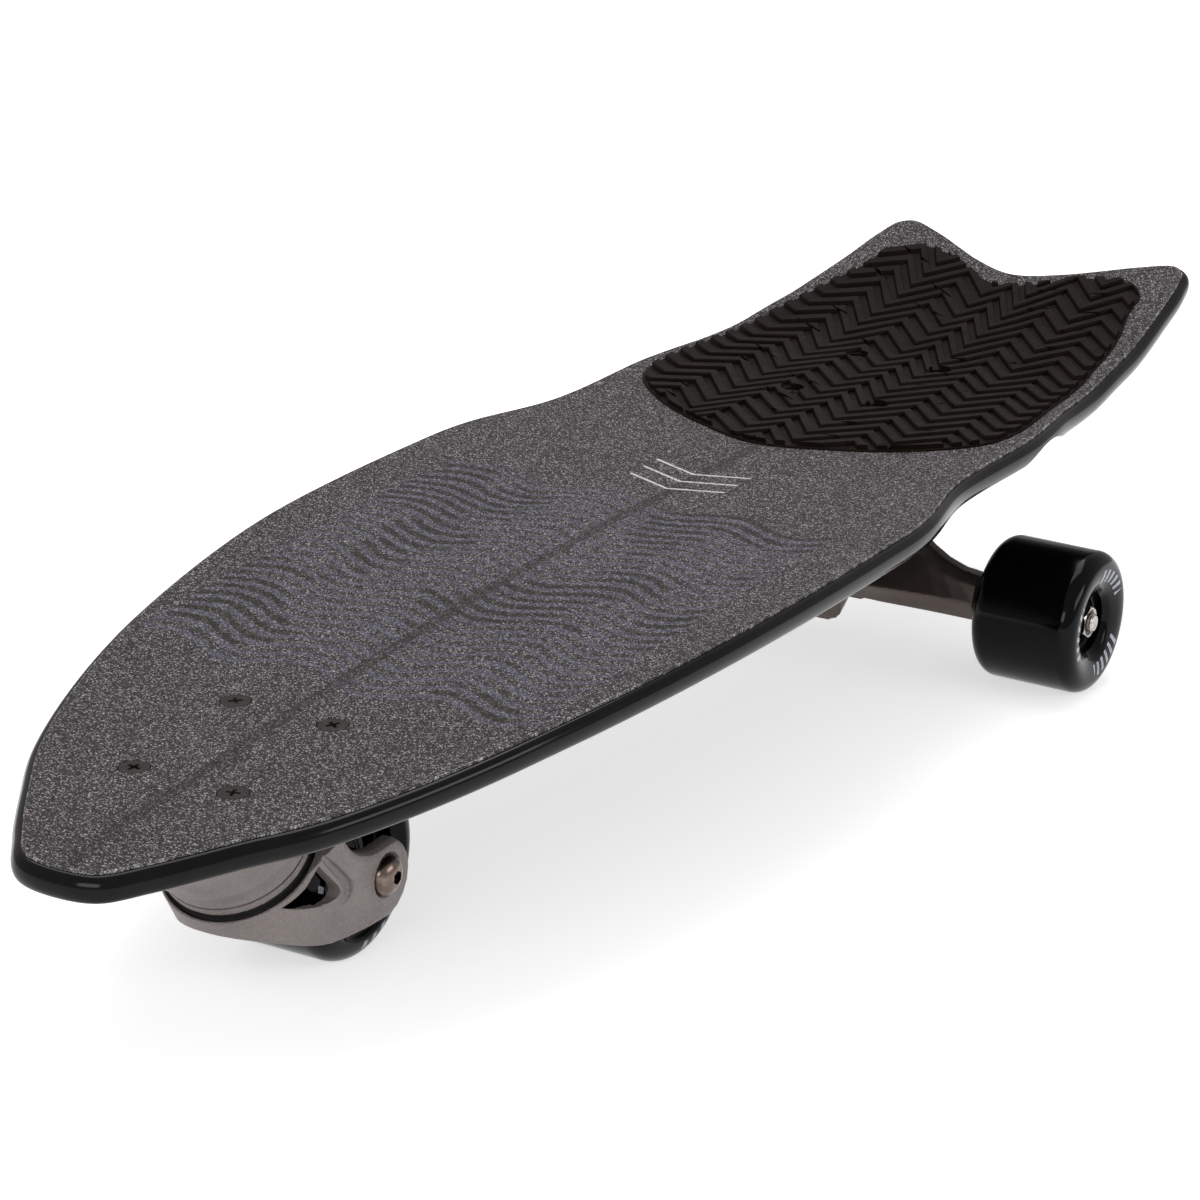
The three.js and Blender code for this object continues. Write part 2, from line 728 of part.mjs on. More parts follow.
const pinTop = housingHeight - topNutCover + swivelWasherThickness;
const nutTop = housingHeight - topNutCover;
const topWasherTop = nutTop - swivelNutThickness - contactGap;
const topBearingTop = topWasherTop - swivelWasherThickness - contactGap;
const topBearingBottom = topBearingTop - swivelBearingThickness;
const lowBearingBottom = slitHeight + contactGap;

function swivelHousing() {
  const collarTop = slitHeight + housingCollarHeight;
  const grooveBottom = slitHeight + housingCollarHeight / 2;
  const grooveTop = grooveBottom + housingGroove;
  const blank = turned([[0, slitHeight], [housingRadius, slitHeight], [housingRadius, grooveBottom],
    [housingRadius - housingGroove, grooveBottom + housingGroove / 2], [housingRadius, grooveTop],
    [housingRadius, collarTop], [housingWaistRadius, collarTop + housingWaistHeight],
    [housingFlareRadius, collarTop + housingFlareHeight], [housingFlareRadius, reach],
    [0, reach]], wheelSides);
  const sink = moved(new THREE.BoxGeometry(2 * reach, 4 * reach, 2 * reach), 0, 0, reach)
    .applyMatrix4(seatFrame());
  const side = (dir) => moved(new THREE.BoxGeometry(reach, 4 * reach, 4 * reach),
    dir * (housingHalfWidth + reach / 2), 0, 0);
  const flange = roundedPlate(flangeWidth, flangeLength, flangeThickness, flangeCorner, 0)
    .applyMatrix4(seatFrame());
  const seatRadius = swivelBearingRadius + contactGap;
  const threads = patternSpots.map(([x, y]) => {
    const depth = y < 0 ? blindThreadDepth : reach / 2;
    const hole = rod(screwShankRadius + contactGap, -depth, overrun, smallSides);
    return moved(hole, x, y, 0).applyMatrix4(seatFrame());
  });
  const nutRooms = patternSpots.filter(([, y]) => y > 0).map(([x, y]) => {
    const room = rod(nutRadius + overrun, -reach / 2, -flangeThickness, smallSides);
    return moved(room, x, y, 0).applyMatrix4(seatFrame());
  });
  return carve(blank, [flange], [
    sink, side(1), side(-1),
    rod(seatRadius, -overrun, lowBearingBottom + swivelBearingThickness + contactGap, roundSides),
    rod(seatRadius, topBearingBottom - contactGap, reach, roundSides),
    rod(swivelPinRadius + overrun, 0, reach, roundSides),
    ...threads, ...nutRooms,
  ]);
}

function swivelPin() {
  const collarTop = slitHeight;
  return turned([[0, -swivelPinSink], [swivelPinRadius, -swivelPinSink], [swivelPinRadius, contactGap],
    [swivelCollarRadius, contactGap], [swivelCollarRadius, collarTop], [swivelPinRadius, collarTop],
    [swivelPinRadius, pinTop], [0, pinTop]], roundSides);
}

function swivelBearing(bottom) {
  return ring(swivelBearingRadius, swivelPinRadius + contactGap, bottom, bottom + swivelBearingThickness);
}

function socketBolt(length) {
  const dome = Array.from({ length: lipSteps + 1 }, (_, i) => {
    const angle = Math.PI / 2 * i / lipSteps;
    return [boltHeadRadius * Math.cos(angle * boltDomeShare), boltHeadHeight * Math.sin(angle)];
  });
  const blank = turned([[0, -length], [boltRadius, -length], [boltRadius, 0], ...dome,
    [0, boltHeadHeight]], roundSides);
  const socket = rod(boltSocketRadius, boltHeadHeight - boltSocketDepth, reach, hexSides);
  return carve(blank, [], [socket]);
}

function frontWheel() {
  const wheel = new THREE.Group();
  const bearingPlace = frontCoreWidth / 2 - wheelBearingThickness / 2;
  wheel.add(piece('front_tyre', tyre(frontWheelRadius, frontWheelWidth, frontLipRadius,
    frontMouthRadius, frontThroatRadius, frontCoreRadius, frontCoreWidth), urethane));
  wheel.add(piece('front_core', holedCore(), corePlastic));
  for (const [name, side] of [['front_bearing_left', 1], ['front_bearing_right', -1]]) {
    wheel.add(piece(name, wheelBearing().translate(side * bearingPlace, 0, 0), brightSteel));
  }
  return wheel;
}

function frontAxle() {
  const group = new THREE.Group();
  const seat = legOutside - boltCounterbore + contactGap;
  const bearingEnd = frontCoreWidth / 2 + contactGap;
  const spacerEnd = legInside - contactGap;
  const bolt = socketBolt(2 * seat + axleNutThickness + overrun);
  group.add(piece('front_axle_bolt', turnToX(moved(bolt, 0, 0, seat)), brightSteel));
  const nut = moved(hexNut(axleNutRadius, boltRadius, axleNutThickness), 0, 0, -seat);
  group.add(piece('front_axle_nut', turnToX(nut), brightSteel));
  for (const [name, side] of [['front_spacer_left', 1], ['front_spacer_right', -1]]) {
    const spacer = ring(washerRadius, boltRadius + contactGap, bearingEnd, spacerEnd, smallSides);
    group.add(piece(name, turnToX(spacer).rotateZ(side > 0 ? 0 : Math.PI), blackSteel));
  }
  return group;
}

function frontEnd() {
  const swivel = new THREE.Group();
  swivel.position.set(0, crownPlace, crownHeight);
  swivel.rotation.x = swivelTilt;
  swivel.add(piece('swivel_housing', swivelHousing(), castMetal));
  swivel.add(piece('lower_swivel_bearing', swivelBearing(lowBearingBottom), brightSteel));
  swivel.add(piece('upper_swivel_bearing', swivelBearing(topBearingBottom), brightSteel));
  const sealOuter = housingRadius - housingGroove;
  swivel.add(piece('swivel_seal', ring(sealOuter, sealOuter - sealWidth, contactGap, slitHeight - contactGap),
    blackRubber));
  swivel.add(piece('fork', fork(), castMetal));
  swivel.add(piece('swivel_pin', swivelPin(), brightSteel));
  const washerInner = swivelPinRadius + contactGap;
  swivel.add(piece('swivel_washer', ring(swivelCollarRadius, washerInner,
    topWasherTop - swivelWasherThickness, topWasherTop), brightSteel));
  const nut = hexNut(swivelNutRadius, swivelPinRadius, swivelNutThickness, roundSides);
  swivel.add(piece('swivel_nut', moved(nut, 0, 0, nutTop), brightSteel));
  const axle = new THREE.Group();
  axle.position.set(0, wheelReach, -wheelDrop);
  axle.rotation.x = -swivelTilt;
  axle.add(frontWheel(), frontAxle());
  swivel.add(axle);
  return swivel;
}

// The rear truck, in a frame on the deck's seat with its origin at the screw pattern's middle

const rearAxleHeight = rearWheelRadius * Math.cos(Math.PI / wheelSides);
const rearAxleDrop = (rearSeat.height - axleAheadOfScrews * Math.sin(rearSeat.slope) - rearAxleHeight)
  / Math.cos(rearSeat.slope);
const plateTop = -riserThickness - contactGap;
const plateBottom = plateTop - plateThickness;
const steerAngle = Math.atan2(ringAboveAxle - pivotAboveAxle, ringBehindAxle + pivotAheadOfAxle);
const steerReach = Math.hypot(ringAboveAxle - pivotAboveAxle, ringBehindAxle + pivotAheadOfAxle);
const ringPlace = ringBehindAxle - axleAheadOfScrews;
const ringHeight = ringAboveAxle - rearAxleDrop;
const pivotPlace = -pivotAheadOfAxle - axleAheadOfScrews;
const pivotHeight = pivotAboveAxle - rearAxleDrop;
const bushingStart = ringThickness / 2 + contactGap;
const upperWasherBottom = bushingStart + boardBushingHeight + contactGap;
const bossStart = upperWasherBottom + cupWasherThickness + contactGap;
const kingpinHeadBottom = bossStart + kingpinBossWall;
const lowerWasherTop = -bushingStart - roadBushingHeight - contactGap;
const kingpinNutTop = lowerWasherTop - cupWasherThickness - contactGap;

// Places along the rear axle, from the middle outwards
const wheelMiddle = rearWheelTrack / 2;
const bearingPlace = rearCoreWidth / 2 - wheelBearingSink - wheelBearingThickness / 2;
const wheelInnerBearing = wheelMiddle - bearingPlace - wheelBearingThickness / 2;
const wheelOuterBearing = wheelMiddle + bearingPlace + wheelBearingThickness / 2;
const outerWasherPlace = wheelOuterBearing + contactGap + washerThickness / 2;
const innerWasherPlace = wheelInnerBearing - contactGap - washerThickness / 2;
const axleNutStart = outerWasherPlace + washerThickness / 2 + contactGap;
const rearAxleHalf = axleNutStart + axleNutThickness + axleEnd;

// The steering frame stands in the hanger's ring, +Y along the steering axis, +Z up the kingpin
const ringFrame = () => new THREE.Matrix4().makeRotationX(steerAngle).setPosition(0, ringPlace, ringHeight);
const atRing = (geometry) => geometry.applyMatrix4(ringFrame());

// Lays a body turned about +Z along the steering axis, with its foot in the pivot
function atPivot(geometry) {
  return atRing(geometry.rotateX(-Math.PI / 2).translate(0, -steerReach, 0));
}

function riser() {
  const holes = patternSpots.map(([x, y]) => moved(
    rod(screwShankRadius + contactGap, -reach, reach, smallSides), x, y, 0));
  return carve(roundedPlate(riserWidth, riserLength, riserThickness, plateCorner, 0), [], holes);
}

function baseplate() {
  const half = plateLength / 2;
  const plate = roundedPlate(plateWidth, plateLength, plateThickness, plateCorner, plateTop);
  const boss = atRing(rod(kingpinBossRadius, bossStart, (plateTop - ringHeight) / Math.cos(steerAngle)
    + kingpinBossRadius * Math.tan(steerAngle)));
  const deep = plateTop - pivotHeight;
  const tower = acrossBoard(polygon([
    [towerStart - half, plateTop - overrun],
    [pivotPlace + towerReach * towerBackShare, plateTop - overrun],
    ...towerShares.map(([x, y]) => [pivotPlace + towerReach * x, pivotHeight + deep * y]),
  ]), towerWidth, towerBevel);
  const cupRadius = pivotStudRadius + pivotCupWall + 2 * contactGap;
  const bossFoot = -pivotStudLength / 2 - pivotCupWall - overrun;
  const pivotBoss = atPivot(rod(pivotBossRadius, bossFoot, pivotStudLength / 3));
  const above = moved(new THREE.BoxGeometry(reach, reach, reach), 0, 0, plateTop + reach / 2);
  const holes = patternSpots.map(([x, y]) => moved(
    rod(screwShankRadius + contactGap, -reach / 2, reach, smallSides), x, y, 0));
  const nutRooms = patternSpots.map(([x, y]) => moved(
    rod(nutRadius + overrun, -reach / 2, plateBottom, smallSides), x, y, 0));
  return carve(plate, [boss, tower, pivotBoss], [
    above, ...holes, ...nutRooms,
    atRing(rod(kingpinRadius + contactGap, 0, reach)),
    atRing(rod(kingpinHeadRadius + 2 * contactGap, kingpinHeadBottom - contactGap, reach)),
    atPivot(rod(cupRadius, -pivotStudLength / 2 - pivotCupWall + contactGap, reach)),
    atRing(rod(bushingPocketRadius, 0, bossStart - 2 * contactGap)),
  ]);
}

function pivotCup() {
  const inner = pivotStudRadius + contactGap;
  const outer = inner + pivotCupWall;
  const floor = -pivotStudLength / 2 - contactGap;
  const bottom = floor - pivotCupWall + 2 * contactGap;
  return atPivot(turned([[0, bottom], [outer, bottom], [outer, pivotStudLength / 3],
    [inner, pivotStudLength / 3], [inner, floor], [0, floor]], roundSides));
}

function bushing(height, bottom) {
  const r = bushingRadius;
  const inner = kingpinRadius + contactGap;
  const top = bottom + height;
  return atRing(turned([[inner, bottom], [r, bottom], [r - bushingWaist, bottom + height / 2],
    [r, top], [inner, top]], roundSides));
}

function cupWasher(bottom) {
  return atRing(ring(cupWasherRadius, kingpinRadius + contactGap, bottom, bottom + cupWasherThickness));
}

function kingpin() {
  const end = kingpinNutTop - kingpinNutThickness - washerThickness;
  const shank = rod(kingpinRadius, end, kingpinHeadBottom);
  const headTop = kingpinHeadBottom + kingpinHeadHeight;
  const head = rod(kingpinHeadRadius, kingpinHeadBottom - contactGap / 2, headTop, hexSides);
  return atRing(carve(shank, [head], []));
}

// One ring of the hanger's arm: a ridge at the axle's height between a narrow foot and a narrow top
function armRing(x) {
  const out = Math.max(Math.abs(x), hangerRootWidth / 2);
  const share = (hangerWidth / 2 - out) / (hangerWidth / 2 - hangerRootWidth / 2);
  const top = hangerEndAbove + (hangerRootAbove - hangerEndAbove) * share * share;
  const deep = (hangerEndDepth + (hangerRootDepth - hangerEndDepth) * share * share) / 2;
  const narrow = deep * THREE.MathUtils.lerp(...armTopShares, share);
  const lean = ringBehindAxle * share * share / 2;
  const foot = -hangerEndBelow;
  const shoulder = armShoulderShare * top;
  const spots = [[-deep / 2, foot], [-deep, 0], [lean - narrow, shoulder], [lean - narrow / 2, top],
    [lean + narrow / 2, top], [lean + narrow, shoulder], [deep, 0], [deep / 2, foot]];
  return spots.reverse().map(([y, z]) => [x, y, z]);
}

function hanger() {
  const half = hangerWidth / 2;
  const root = hangerRootWidth / 2;
  const rightPlaces = armStepShares.map((share) => root + (half - root) * share);
  const places = [...rightPlaces.map((x) => -x), ...rightPlaces.slice().reverse()];
  const arms = skin(places.map(armRing)).translate(0, -axleAheadOfScrews, -rearAxleDrop);
  const mid = ringThickness / 2;
  const rim = ringRadius - hangerRingOverlap;
  const studEnd = steerReach - pivotStudLength;
  const axleBack = ringBehindAxle * Math.cos(steerAngle) + ringAboveAxle * Math.sin(steerAngle);
  const axleDown = ringAboveAxle * Math.cos(steerAngle) - ringBehindAxle * Math.sin(steerAngle);
  const body = atRing(acrossBoard(polygon([
    [-rim, mid], [-rim, -mid], [-bushingPocketRadius - hangerKeelGap, -axleDown],
    [-axleBack + hangerKeelLength / 2, -axleDown - hangerKeelDepth],
    [-axleBack - hangerKeelLength / 2, -axleDown - hangerKeelDepth],
    [-studEnd, -axleDown * hangerFootShare], [-studEnd, axleDown * hangerFootShare],
    [-axleBack, axleDown * hangerBackShare], [-rim - hangerBackSet, mid + hangerBackRise],
  ]), hangerBodyWidth, hangerBevel));
  const disc = atRing(rod(ringRadius, -mid, mid));
  const studTip = -pivotStudLength / 2;
  const collarRadius = pivotStudRadius + pivotCollarReach;
  const collarEnd = pivotStudLength + pivotCollarLength;
  const stud = atPivot(turned([[0, studTip], [pivotStudRadius - pivotStudTaper, studTip],
    [pivotStudRadius, studTip + pivotStudTaper], [pivotStudRadius, pivotStudLength / 2],
    [collarRadius, pivotStudLength], [collarRadius, collarEnd], [0, collarEnd]], roundSides));
  const shoulderEnd = wheelInnerBearing - washerThickness - 2 * contactGap;
  const shoulder = turnToX(rod(hangerShoulderRadius, -shoulderEnd, shoulderEnd))
    .translate(0, -axleAheadOfScrews, -rearAxleDrop);
  const bore = turnToX(rod(axleRadius + contactGap, -reach, reach))
    .translate(0, -axleAheadOfScrews, -rearAxleDrop);
  const pockets = [rod(bushingPocketRadius, mid, reach), rod(bushingPocketRadius, -reach, -mid)].map(atRing);
  const blank = carve(arms, [body, stud, shoulder], pockets);
  return carve(blank, [disc], [atRing(rod(ringBore, -reach, reach)), bore]);
}

function rearWheel(sideName, side) {
  const wheel = new THREE.Group();
  wheel.position.x = side * wheelMiddle;
  wheel.add(piece(`rear_tyre_${sideName}`, tyre(rearWheelRadius, rearWheelWidth, rearLipRadius,
    rearMouthRadius, rearThroatRadius, rearCoreRadius, rearCoreWidth), urethane));
  wheel.add(piece(`rear_core_${sideName}`, turnToX(plainCore(rearCoreRadius, rearCoreWidth)), corePlastic));
  for (const [place, x] of [['inner', -side * bearingPlace], ['outer', side * bearingPlace]]) {
    wheel.add(piece(`rear_bearing_${sideName}_${place}`, wheelBearing().translate(x, 0, 0), brightSteel));
  }
  return wheel;
}

function rearAxleParts() {
  const group = new THREE.Group();
  const shaft = turnToX(rod(axleRadius, -rearAxleHalf, rearAxleHalf, smallSides));
  group.add(piece('rear_axle', shaft, brightSteel));
  for (const [name, side] of [['left', 1], ['right', -1]]) {
    group.add(piece(`inner_washer_${name}`, washer().translate(side * innerWasherPlace, 0, 0), brightSteel));
    group.add(piece(`outer_washer_${name}`, washer().translate(side * outerWasherPlace, 0, 0), brightSteel));
    const nut = moved(hexNut(axleNutRadius, axleRadius, axleNutThickness), 0, 0,
      axleNutStart + axleNutThickness);
    group.add(piece(`axle_nut_${name}`, turnToX(nut).rotateZ(side > 0 ? 0 : Math.PI), brightSteel));
  }
  return group;
}

function rearTruck() {
  const truck = new THREE.Group();
  truck.position.set(0, rearScrewsPlace, rearSeat.height);
  truck.rotation.x = rearSeat.slope;
  truck.add(piece('rear_riser', riser(), blackRubber));
  truck.add(piece('rear_baseplate', baseplate(), hangerMetal));
  truck.add(piece('pivot_cup', pivotCup(), blackRubber));
  truck.add(piece('rear_hanger', hanger(), hangerMetal));
  truck.add(piece('board_bushing', bushing(boardBushingHeight, bushingStart), blackRubber));
  const roadStart = -bushingStart - roadBushingHeight;
  truck.add(piece('road_bushing', bushing(roadBushingHeight, roadStart), blackRubber));
  truck.add(piece('upper_cup_washer', cupWasher(upperWasherBottom), brightSteel));
  truck.add(piece('lower_cup_washer', cupWasher(lowerWasherTop - cupWasherThickness), brightSteel));
  truck.add(piece('kingpin', kingpin(), blackSteel));
  const nut = hexNut(kingpinNutRadius, kingpinRadius, kingpinNutThickness, roundSides);
  truck.add(piece('kingpin_nut', atRing(moved(nut, 0, 0, kingpinNutTop)), blackSteel));
  const axle = new THREE.Group();
  axle.position.set(0, -axleAheadOfScrews, -rearAxleDrop);
  axle.rotation.x = -rearSeat.slope;
  axle.add(rearAxleParts(), rearWheel('left', 1), rearWheel('right', -1));
  truck.add(axle);
  return truck;
}

// Screws and their nuts

function screwSet(name, place, seat, headTop, under, nutSpots) {
  const set = new THREE.Group();
  set.position.set(0, place, seat.height);
  set.rotation.x = seat.slope;
  patternSpots.forEach(([x, y], i) => {
    const nutted = nutSpots.includes(i);
    const below = nutted ? under + contactGap + nutThickness : blindThreadDepth - overrun;
    const body = screw(aboveSeat + headTop + below);
    set.add(piece(`${name}_screw_${i + 1}`, moved(body, x, y, aboveSeat + headTop), blackSteel));
    if (nutted) {
      const nut = hexNut(nutRadius, screwShankRadius, nutThickness);
      set.add(piece(`${name}_nut_${i + 1}`, moved(nut, x, y, -under - contactGap), brightSteel));
    }
  });
  return set;
}

const board = new THREE.Group();
board.add(piece('deck', deck(), lacquer));
board.add(piece('grip_sheet', grip(), grit));
board.add(piece('traction_pad', pad(), padRubber));
board.add(screwSet('front', frontScrewsPlace, frontSeat, headTopFront, flangeThickness, [2, 3]));
board.add(screwSet('rear', rearScrewsPlace, rearSeat, headTopRear,
  riserThickness + contactGap + plateThickness, [0, 1, 2, 3]));
board.add(frontEnd());
board.add(rearTruck());

export default board;
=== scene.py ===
import json
import math
import random

import bmesh
import bpy
from mathutils import Matrix, Vector


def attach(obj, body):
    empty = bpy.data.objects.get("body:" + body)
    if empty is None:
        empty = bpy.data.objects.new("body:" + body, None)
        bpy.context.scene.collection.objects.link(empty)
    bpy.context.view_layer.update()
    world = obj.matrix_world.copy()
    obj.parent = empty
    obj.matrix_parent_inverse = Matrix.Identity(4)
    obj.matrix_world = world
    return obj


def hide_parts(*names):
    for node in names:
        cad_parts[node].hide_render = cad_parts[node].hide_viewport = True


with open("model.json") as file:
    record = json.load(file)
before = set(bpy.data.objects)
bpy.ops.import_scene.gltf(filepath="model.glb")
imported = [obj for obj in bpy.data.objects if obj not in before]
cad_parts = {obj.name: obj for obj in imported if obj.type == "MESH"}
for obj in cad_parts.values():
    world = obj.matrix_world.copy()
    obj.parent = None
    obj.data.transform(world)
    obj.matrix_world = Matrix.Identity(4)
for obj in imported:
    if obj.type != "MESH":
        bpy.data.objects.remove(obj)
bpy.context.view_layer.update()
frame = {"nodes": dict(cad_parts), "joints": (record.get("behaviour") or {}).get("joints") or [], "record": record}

MM = 0.001

# The camera stands in front of the nose, a little above the deck and to one side, and is
# turned a few degrees on its own axis, as the board was photographed.
CAMERA_PLACE = (0.8219, -1.5489, 0.6476)
CAMERA_ROUND = math.radians(28.343)
CAMERA_ABOVE = math.radians(18.222)
CAMERA_ROLL = math.radians(3.156)
CAMERA_LENS = 136.53
CAMERA_SENSOR = 36
CAMERA_NEAREST = 0.05

lens = bpy.data.cameras.new("photo_lens")
lens.sensor_width = CAMERA_SENSOR
lens.lens = CAMERA_LENS
lens.clip_start = CAMERA_NEAREST
camera = bpy.data.objects.new("photo_camera", lens)
bpy.context.scene.collection.objects.link(camera)
behind = Vector((math.sin(CAMERA_ROUND) * math.cos(CAMERA_ABOVE),
                 -math.cos(CAMERA_ROUND) * math.cos(CAMERA_ABOVE), math.sin(CAMERA_ABOVE)))
level = Vector((math.cos(CAMERA_ROUND), math.sin(CAMERA_ROUND), 0))
upward = behind.cross(level)
right_hand = level * math.cos(CAMERA_ROLL) + upward * math.sin(CAMERA_ROLL)
top_edge = upward * math.cos(CAMERA_ROLL) - level * math.sin(CAMERA_ROLL)
camera.matrix_world = (Matrix.Translation(Vector(CAMERA_PLACE))
                       @ Matrix((right_hand, top_edge, behind)).transposed().to_4x4())
bpy.context.scene.camera = camera

# The deck is a pressed plywood board with a swallow tail, a shallow hollow between its rails
# and a kick at the tail. It is dipped in gloss black lacquer, which wraps the rounded rail.
DECK_LENGTH = 797
DECK_WIDTH = 227
DECK_THICKNESS = 10
NOSE_HEIGHT = 80
TAIL_HEIGHT = 146
HOLLOW_RISE = 3.6
HOLLOW_FLAT = 64
RAIL_REACH = 3.3
RAIL_STEPS = 14
EDGE_STAYS_SHARP = math.radians(35)
WELD_WITHIN = 2e-6
SLIVER_BELOW = 1e-7
A_STEP_AHEAD = 1e-4
DECK_SIDE = [
    (0, 0), (0.15, 0.0044), (0.259, 0.0232), (0.408, 0.0571), (0.569, 0.0985), (0.792, 0.195),
    (0.975, 0.352), (1, 0.509), (0.981, 0.559), (0.88, 0.628), (0.871, 0.722), (0.852, 0.75),
    (0.826, 0.7786), (0.812, 0.807), (0.8, 0.835), (0.783, 0.868), (0.765, 0.9),
    (0.732, 0.9417), (0.703, 0.9768), (0.67, 0.993),
]
DECK_TAIL = (0.59, 1)
DECK_NOTCH = [(0, 0.9598), (0.176, 0.969), (0.308, 0.9805), (0.44, 0.992)]
DECK_RISE = [
    (0, 0), (0.0571, 0.091), (0.086, 0.12), (0.1386, 0.185), (0.191, 0.25), (0.2265, 0.291),
    (0.352, 0.4), (0.4335, 0.439), (0.559, 0.477), (0.712, 0.5136), (0.765, 0.534),
    (0.8176, 0.5545), (0.8538, 0.611), (0.8915, 0.674), (0.9417, 0.803), (0.9768, 0.909),
    (1, 0.985),
]
WELL_RADIUS = 70
WELL_DEPTH = 6
WELL_REACH = 30
WELL_OUT = 98.7
WELL_PLACE = 194.5
WELL_SIDES = 240


def smooth_row(table, place):
    """The height at a place on a smooth curve through a table of places and heights."""
    def at(i):
        return table[min(max(i, 0), len(table) - 1)]

    def slope(i):
        return (at(i + 1)[1] - at(i - 1)[1]) / (at(i + 1)[0] - at(i - 1)[0])

    row = next((i - 1 for i in range(1, len(table)) if place <= table[i][0]), len(table) - 2)
    (start, first), (end, last) = table[row], table[row + 1]
    span = end - start
    t = (place - start) / span
    bend = t * t * (3 - 2 * t)
    return (first + (last - first) * bend + t * (1 - t) ** 2 * span * slope(row)
            - t * t * (1 - t) * span * slope(row + 1))


def deck_top(x, y):
    """The height of the deck's top: the rise along the board and the hollow across it."""
    share = smooth_row(DECK_RISE, (y + DECK_LENGTH / 2) / DECK_LENGTH)
    flat = HOLLOW_FLAT / 2
    out = max(0, abs(x) - flat) / (DECK_WIDTH / 2 - flat)
    return NOSE_HEIGHT + (TAIL_HEIGHT - NOSE_HEIGHT) * share + HOLLOW_RISE * out * out


class SwallowOutline:
    """A closed smooth loop through one side, the tail's tip and the notch, and their mirror."""

    def __init__(self, side, tail, notch, width, length, start):
        right = [*side, tail, *reversed(notch)]
        left = [(-x, y) for x, y in reversed(right[1:-1])]
        self.spots = [Vector((x * width / 2, start + y * length)) for x, y in right + left]
        self.spans = len(self.spots)
        self.side_spans = len(side)
        self.notch_spans = len(notch)

    def spot(self, t):
        at = (t % 1) * self.spans
        i = int(at)
        u = at - i
        p = [self.spots[(i + k) % self.spans] for k in (-1, 0, 1, 2)]
        d = [max((p[k + 1] - p[k]).length ** 0.5, 1e-6) for k in range(3)]
        lead = ((p[1] - p[0]) / d[0] - (p[2] - p[0]) / (d[0] + d[1]) + (p[2] - p[1]) / d[1]) * d[1]
        trail = ((p[2] - p[1]) / d[1] - (p[3] - p[1]) / (d[1] + d[2]) + (p[3] - p[2]) / d[2]) * d[1]
        return (p[1] + lead * u + (-3 * p[1] + 3 * p[2] - 2 * lead - trail) * u * u
                + (2 * p[1] - 2 * p[2] + lead + trail) * u ** 3)

    def edge(self, t, inset):
        ahead = (self.spot(t + A_STEP_AHEAD) - self.spot(t - A_STEP_AHEAD)).normalized()
        return self.spot(t) + Vector((-ahead.y, ahead.x)) * inset


def new_piece(name, points, faces, finish, sharp=EDGE_STAYS_SHARP, edge_finish=None,
              edge_faces=()):
    """A piece from points in millimetres, welded, with its faces turned outwards."""
    mesh = bpy.data.meshes.new(name)
    mesh.from_pydata([[c * MM for c in p] for p in points], [], faces)
    mesh.materials.append(finish)
    if edge_finish:
        mesh.materials.append(edge_finish)
    for face in edge_faces:
        mesh.polygons[face].material_index = 1
    work = bmesh.new()
    work.from_mesh(mesh)
    bmesh.ops.remove_doubles(work, verts=work.verts, dist=WELD_WITHIN)
    bmesh.ops.dissolve_degenerate(work, dist=SLIVER_BELOW, edges=work.edges)
    bmesh.ops.recalc_face_normals(work, faces=work.faces)
    work.to_mesh(mesh)
    work.free()
    made = bpy.data.objects.new(name, mesh)
    bpy.context.scene.collection.objects.link(made)
    shade(made, sharp)
    return made


def shade(made, sharp):
    made.data.shade_smooth()
    made.data.set_sharp_from_angle(angle=sharp)


def settle(made, sharp=EDGE_STAYS_SHARP):
    """Applies the modifiers of a piece to its mesh."""
    bpy.context.view_layer.update()
    finished = bpy.data.meshes.new_from_object(
        made.evaluated_get(bpy.context.evaluated_depsgraph_get()))
    made.modifiers.clear()
    made.data = finished
    shade(made, sharp)


def shape_with(made, cutters, operation="DIFFERENCE", sharp=EDGE_STAYS_SHARP):
    """Cuts a piece with others, one by one, or joins them to it, and uses them up."""
    for cutter in cutters:
        cut = made.modifiers.new("cut", "BOOLEAN")
        cut.operation = operation
        cut.solver = "EXACT"
        cut.material_mode = "TRANSFER"
        cut.object = cutter
        settle(made, sharp)
        bpy.data.objects.remove(cutter)


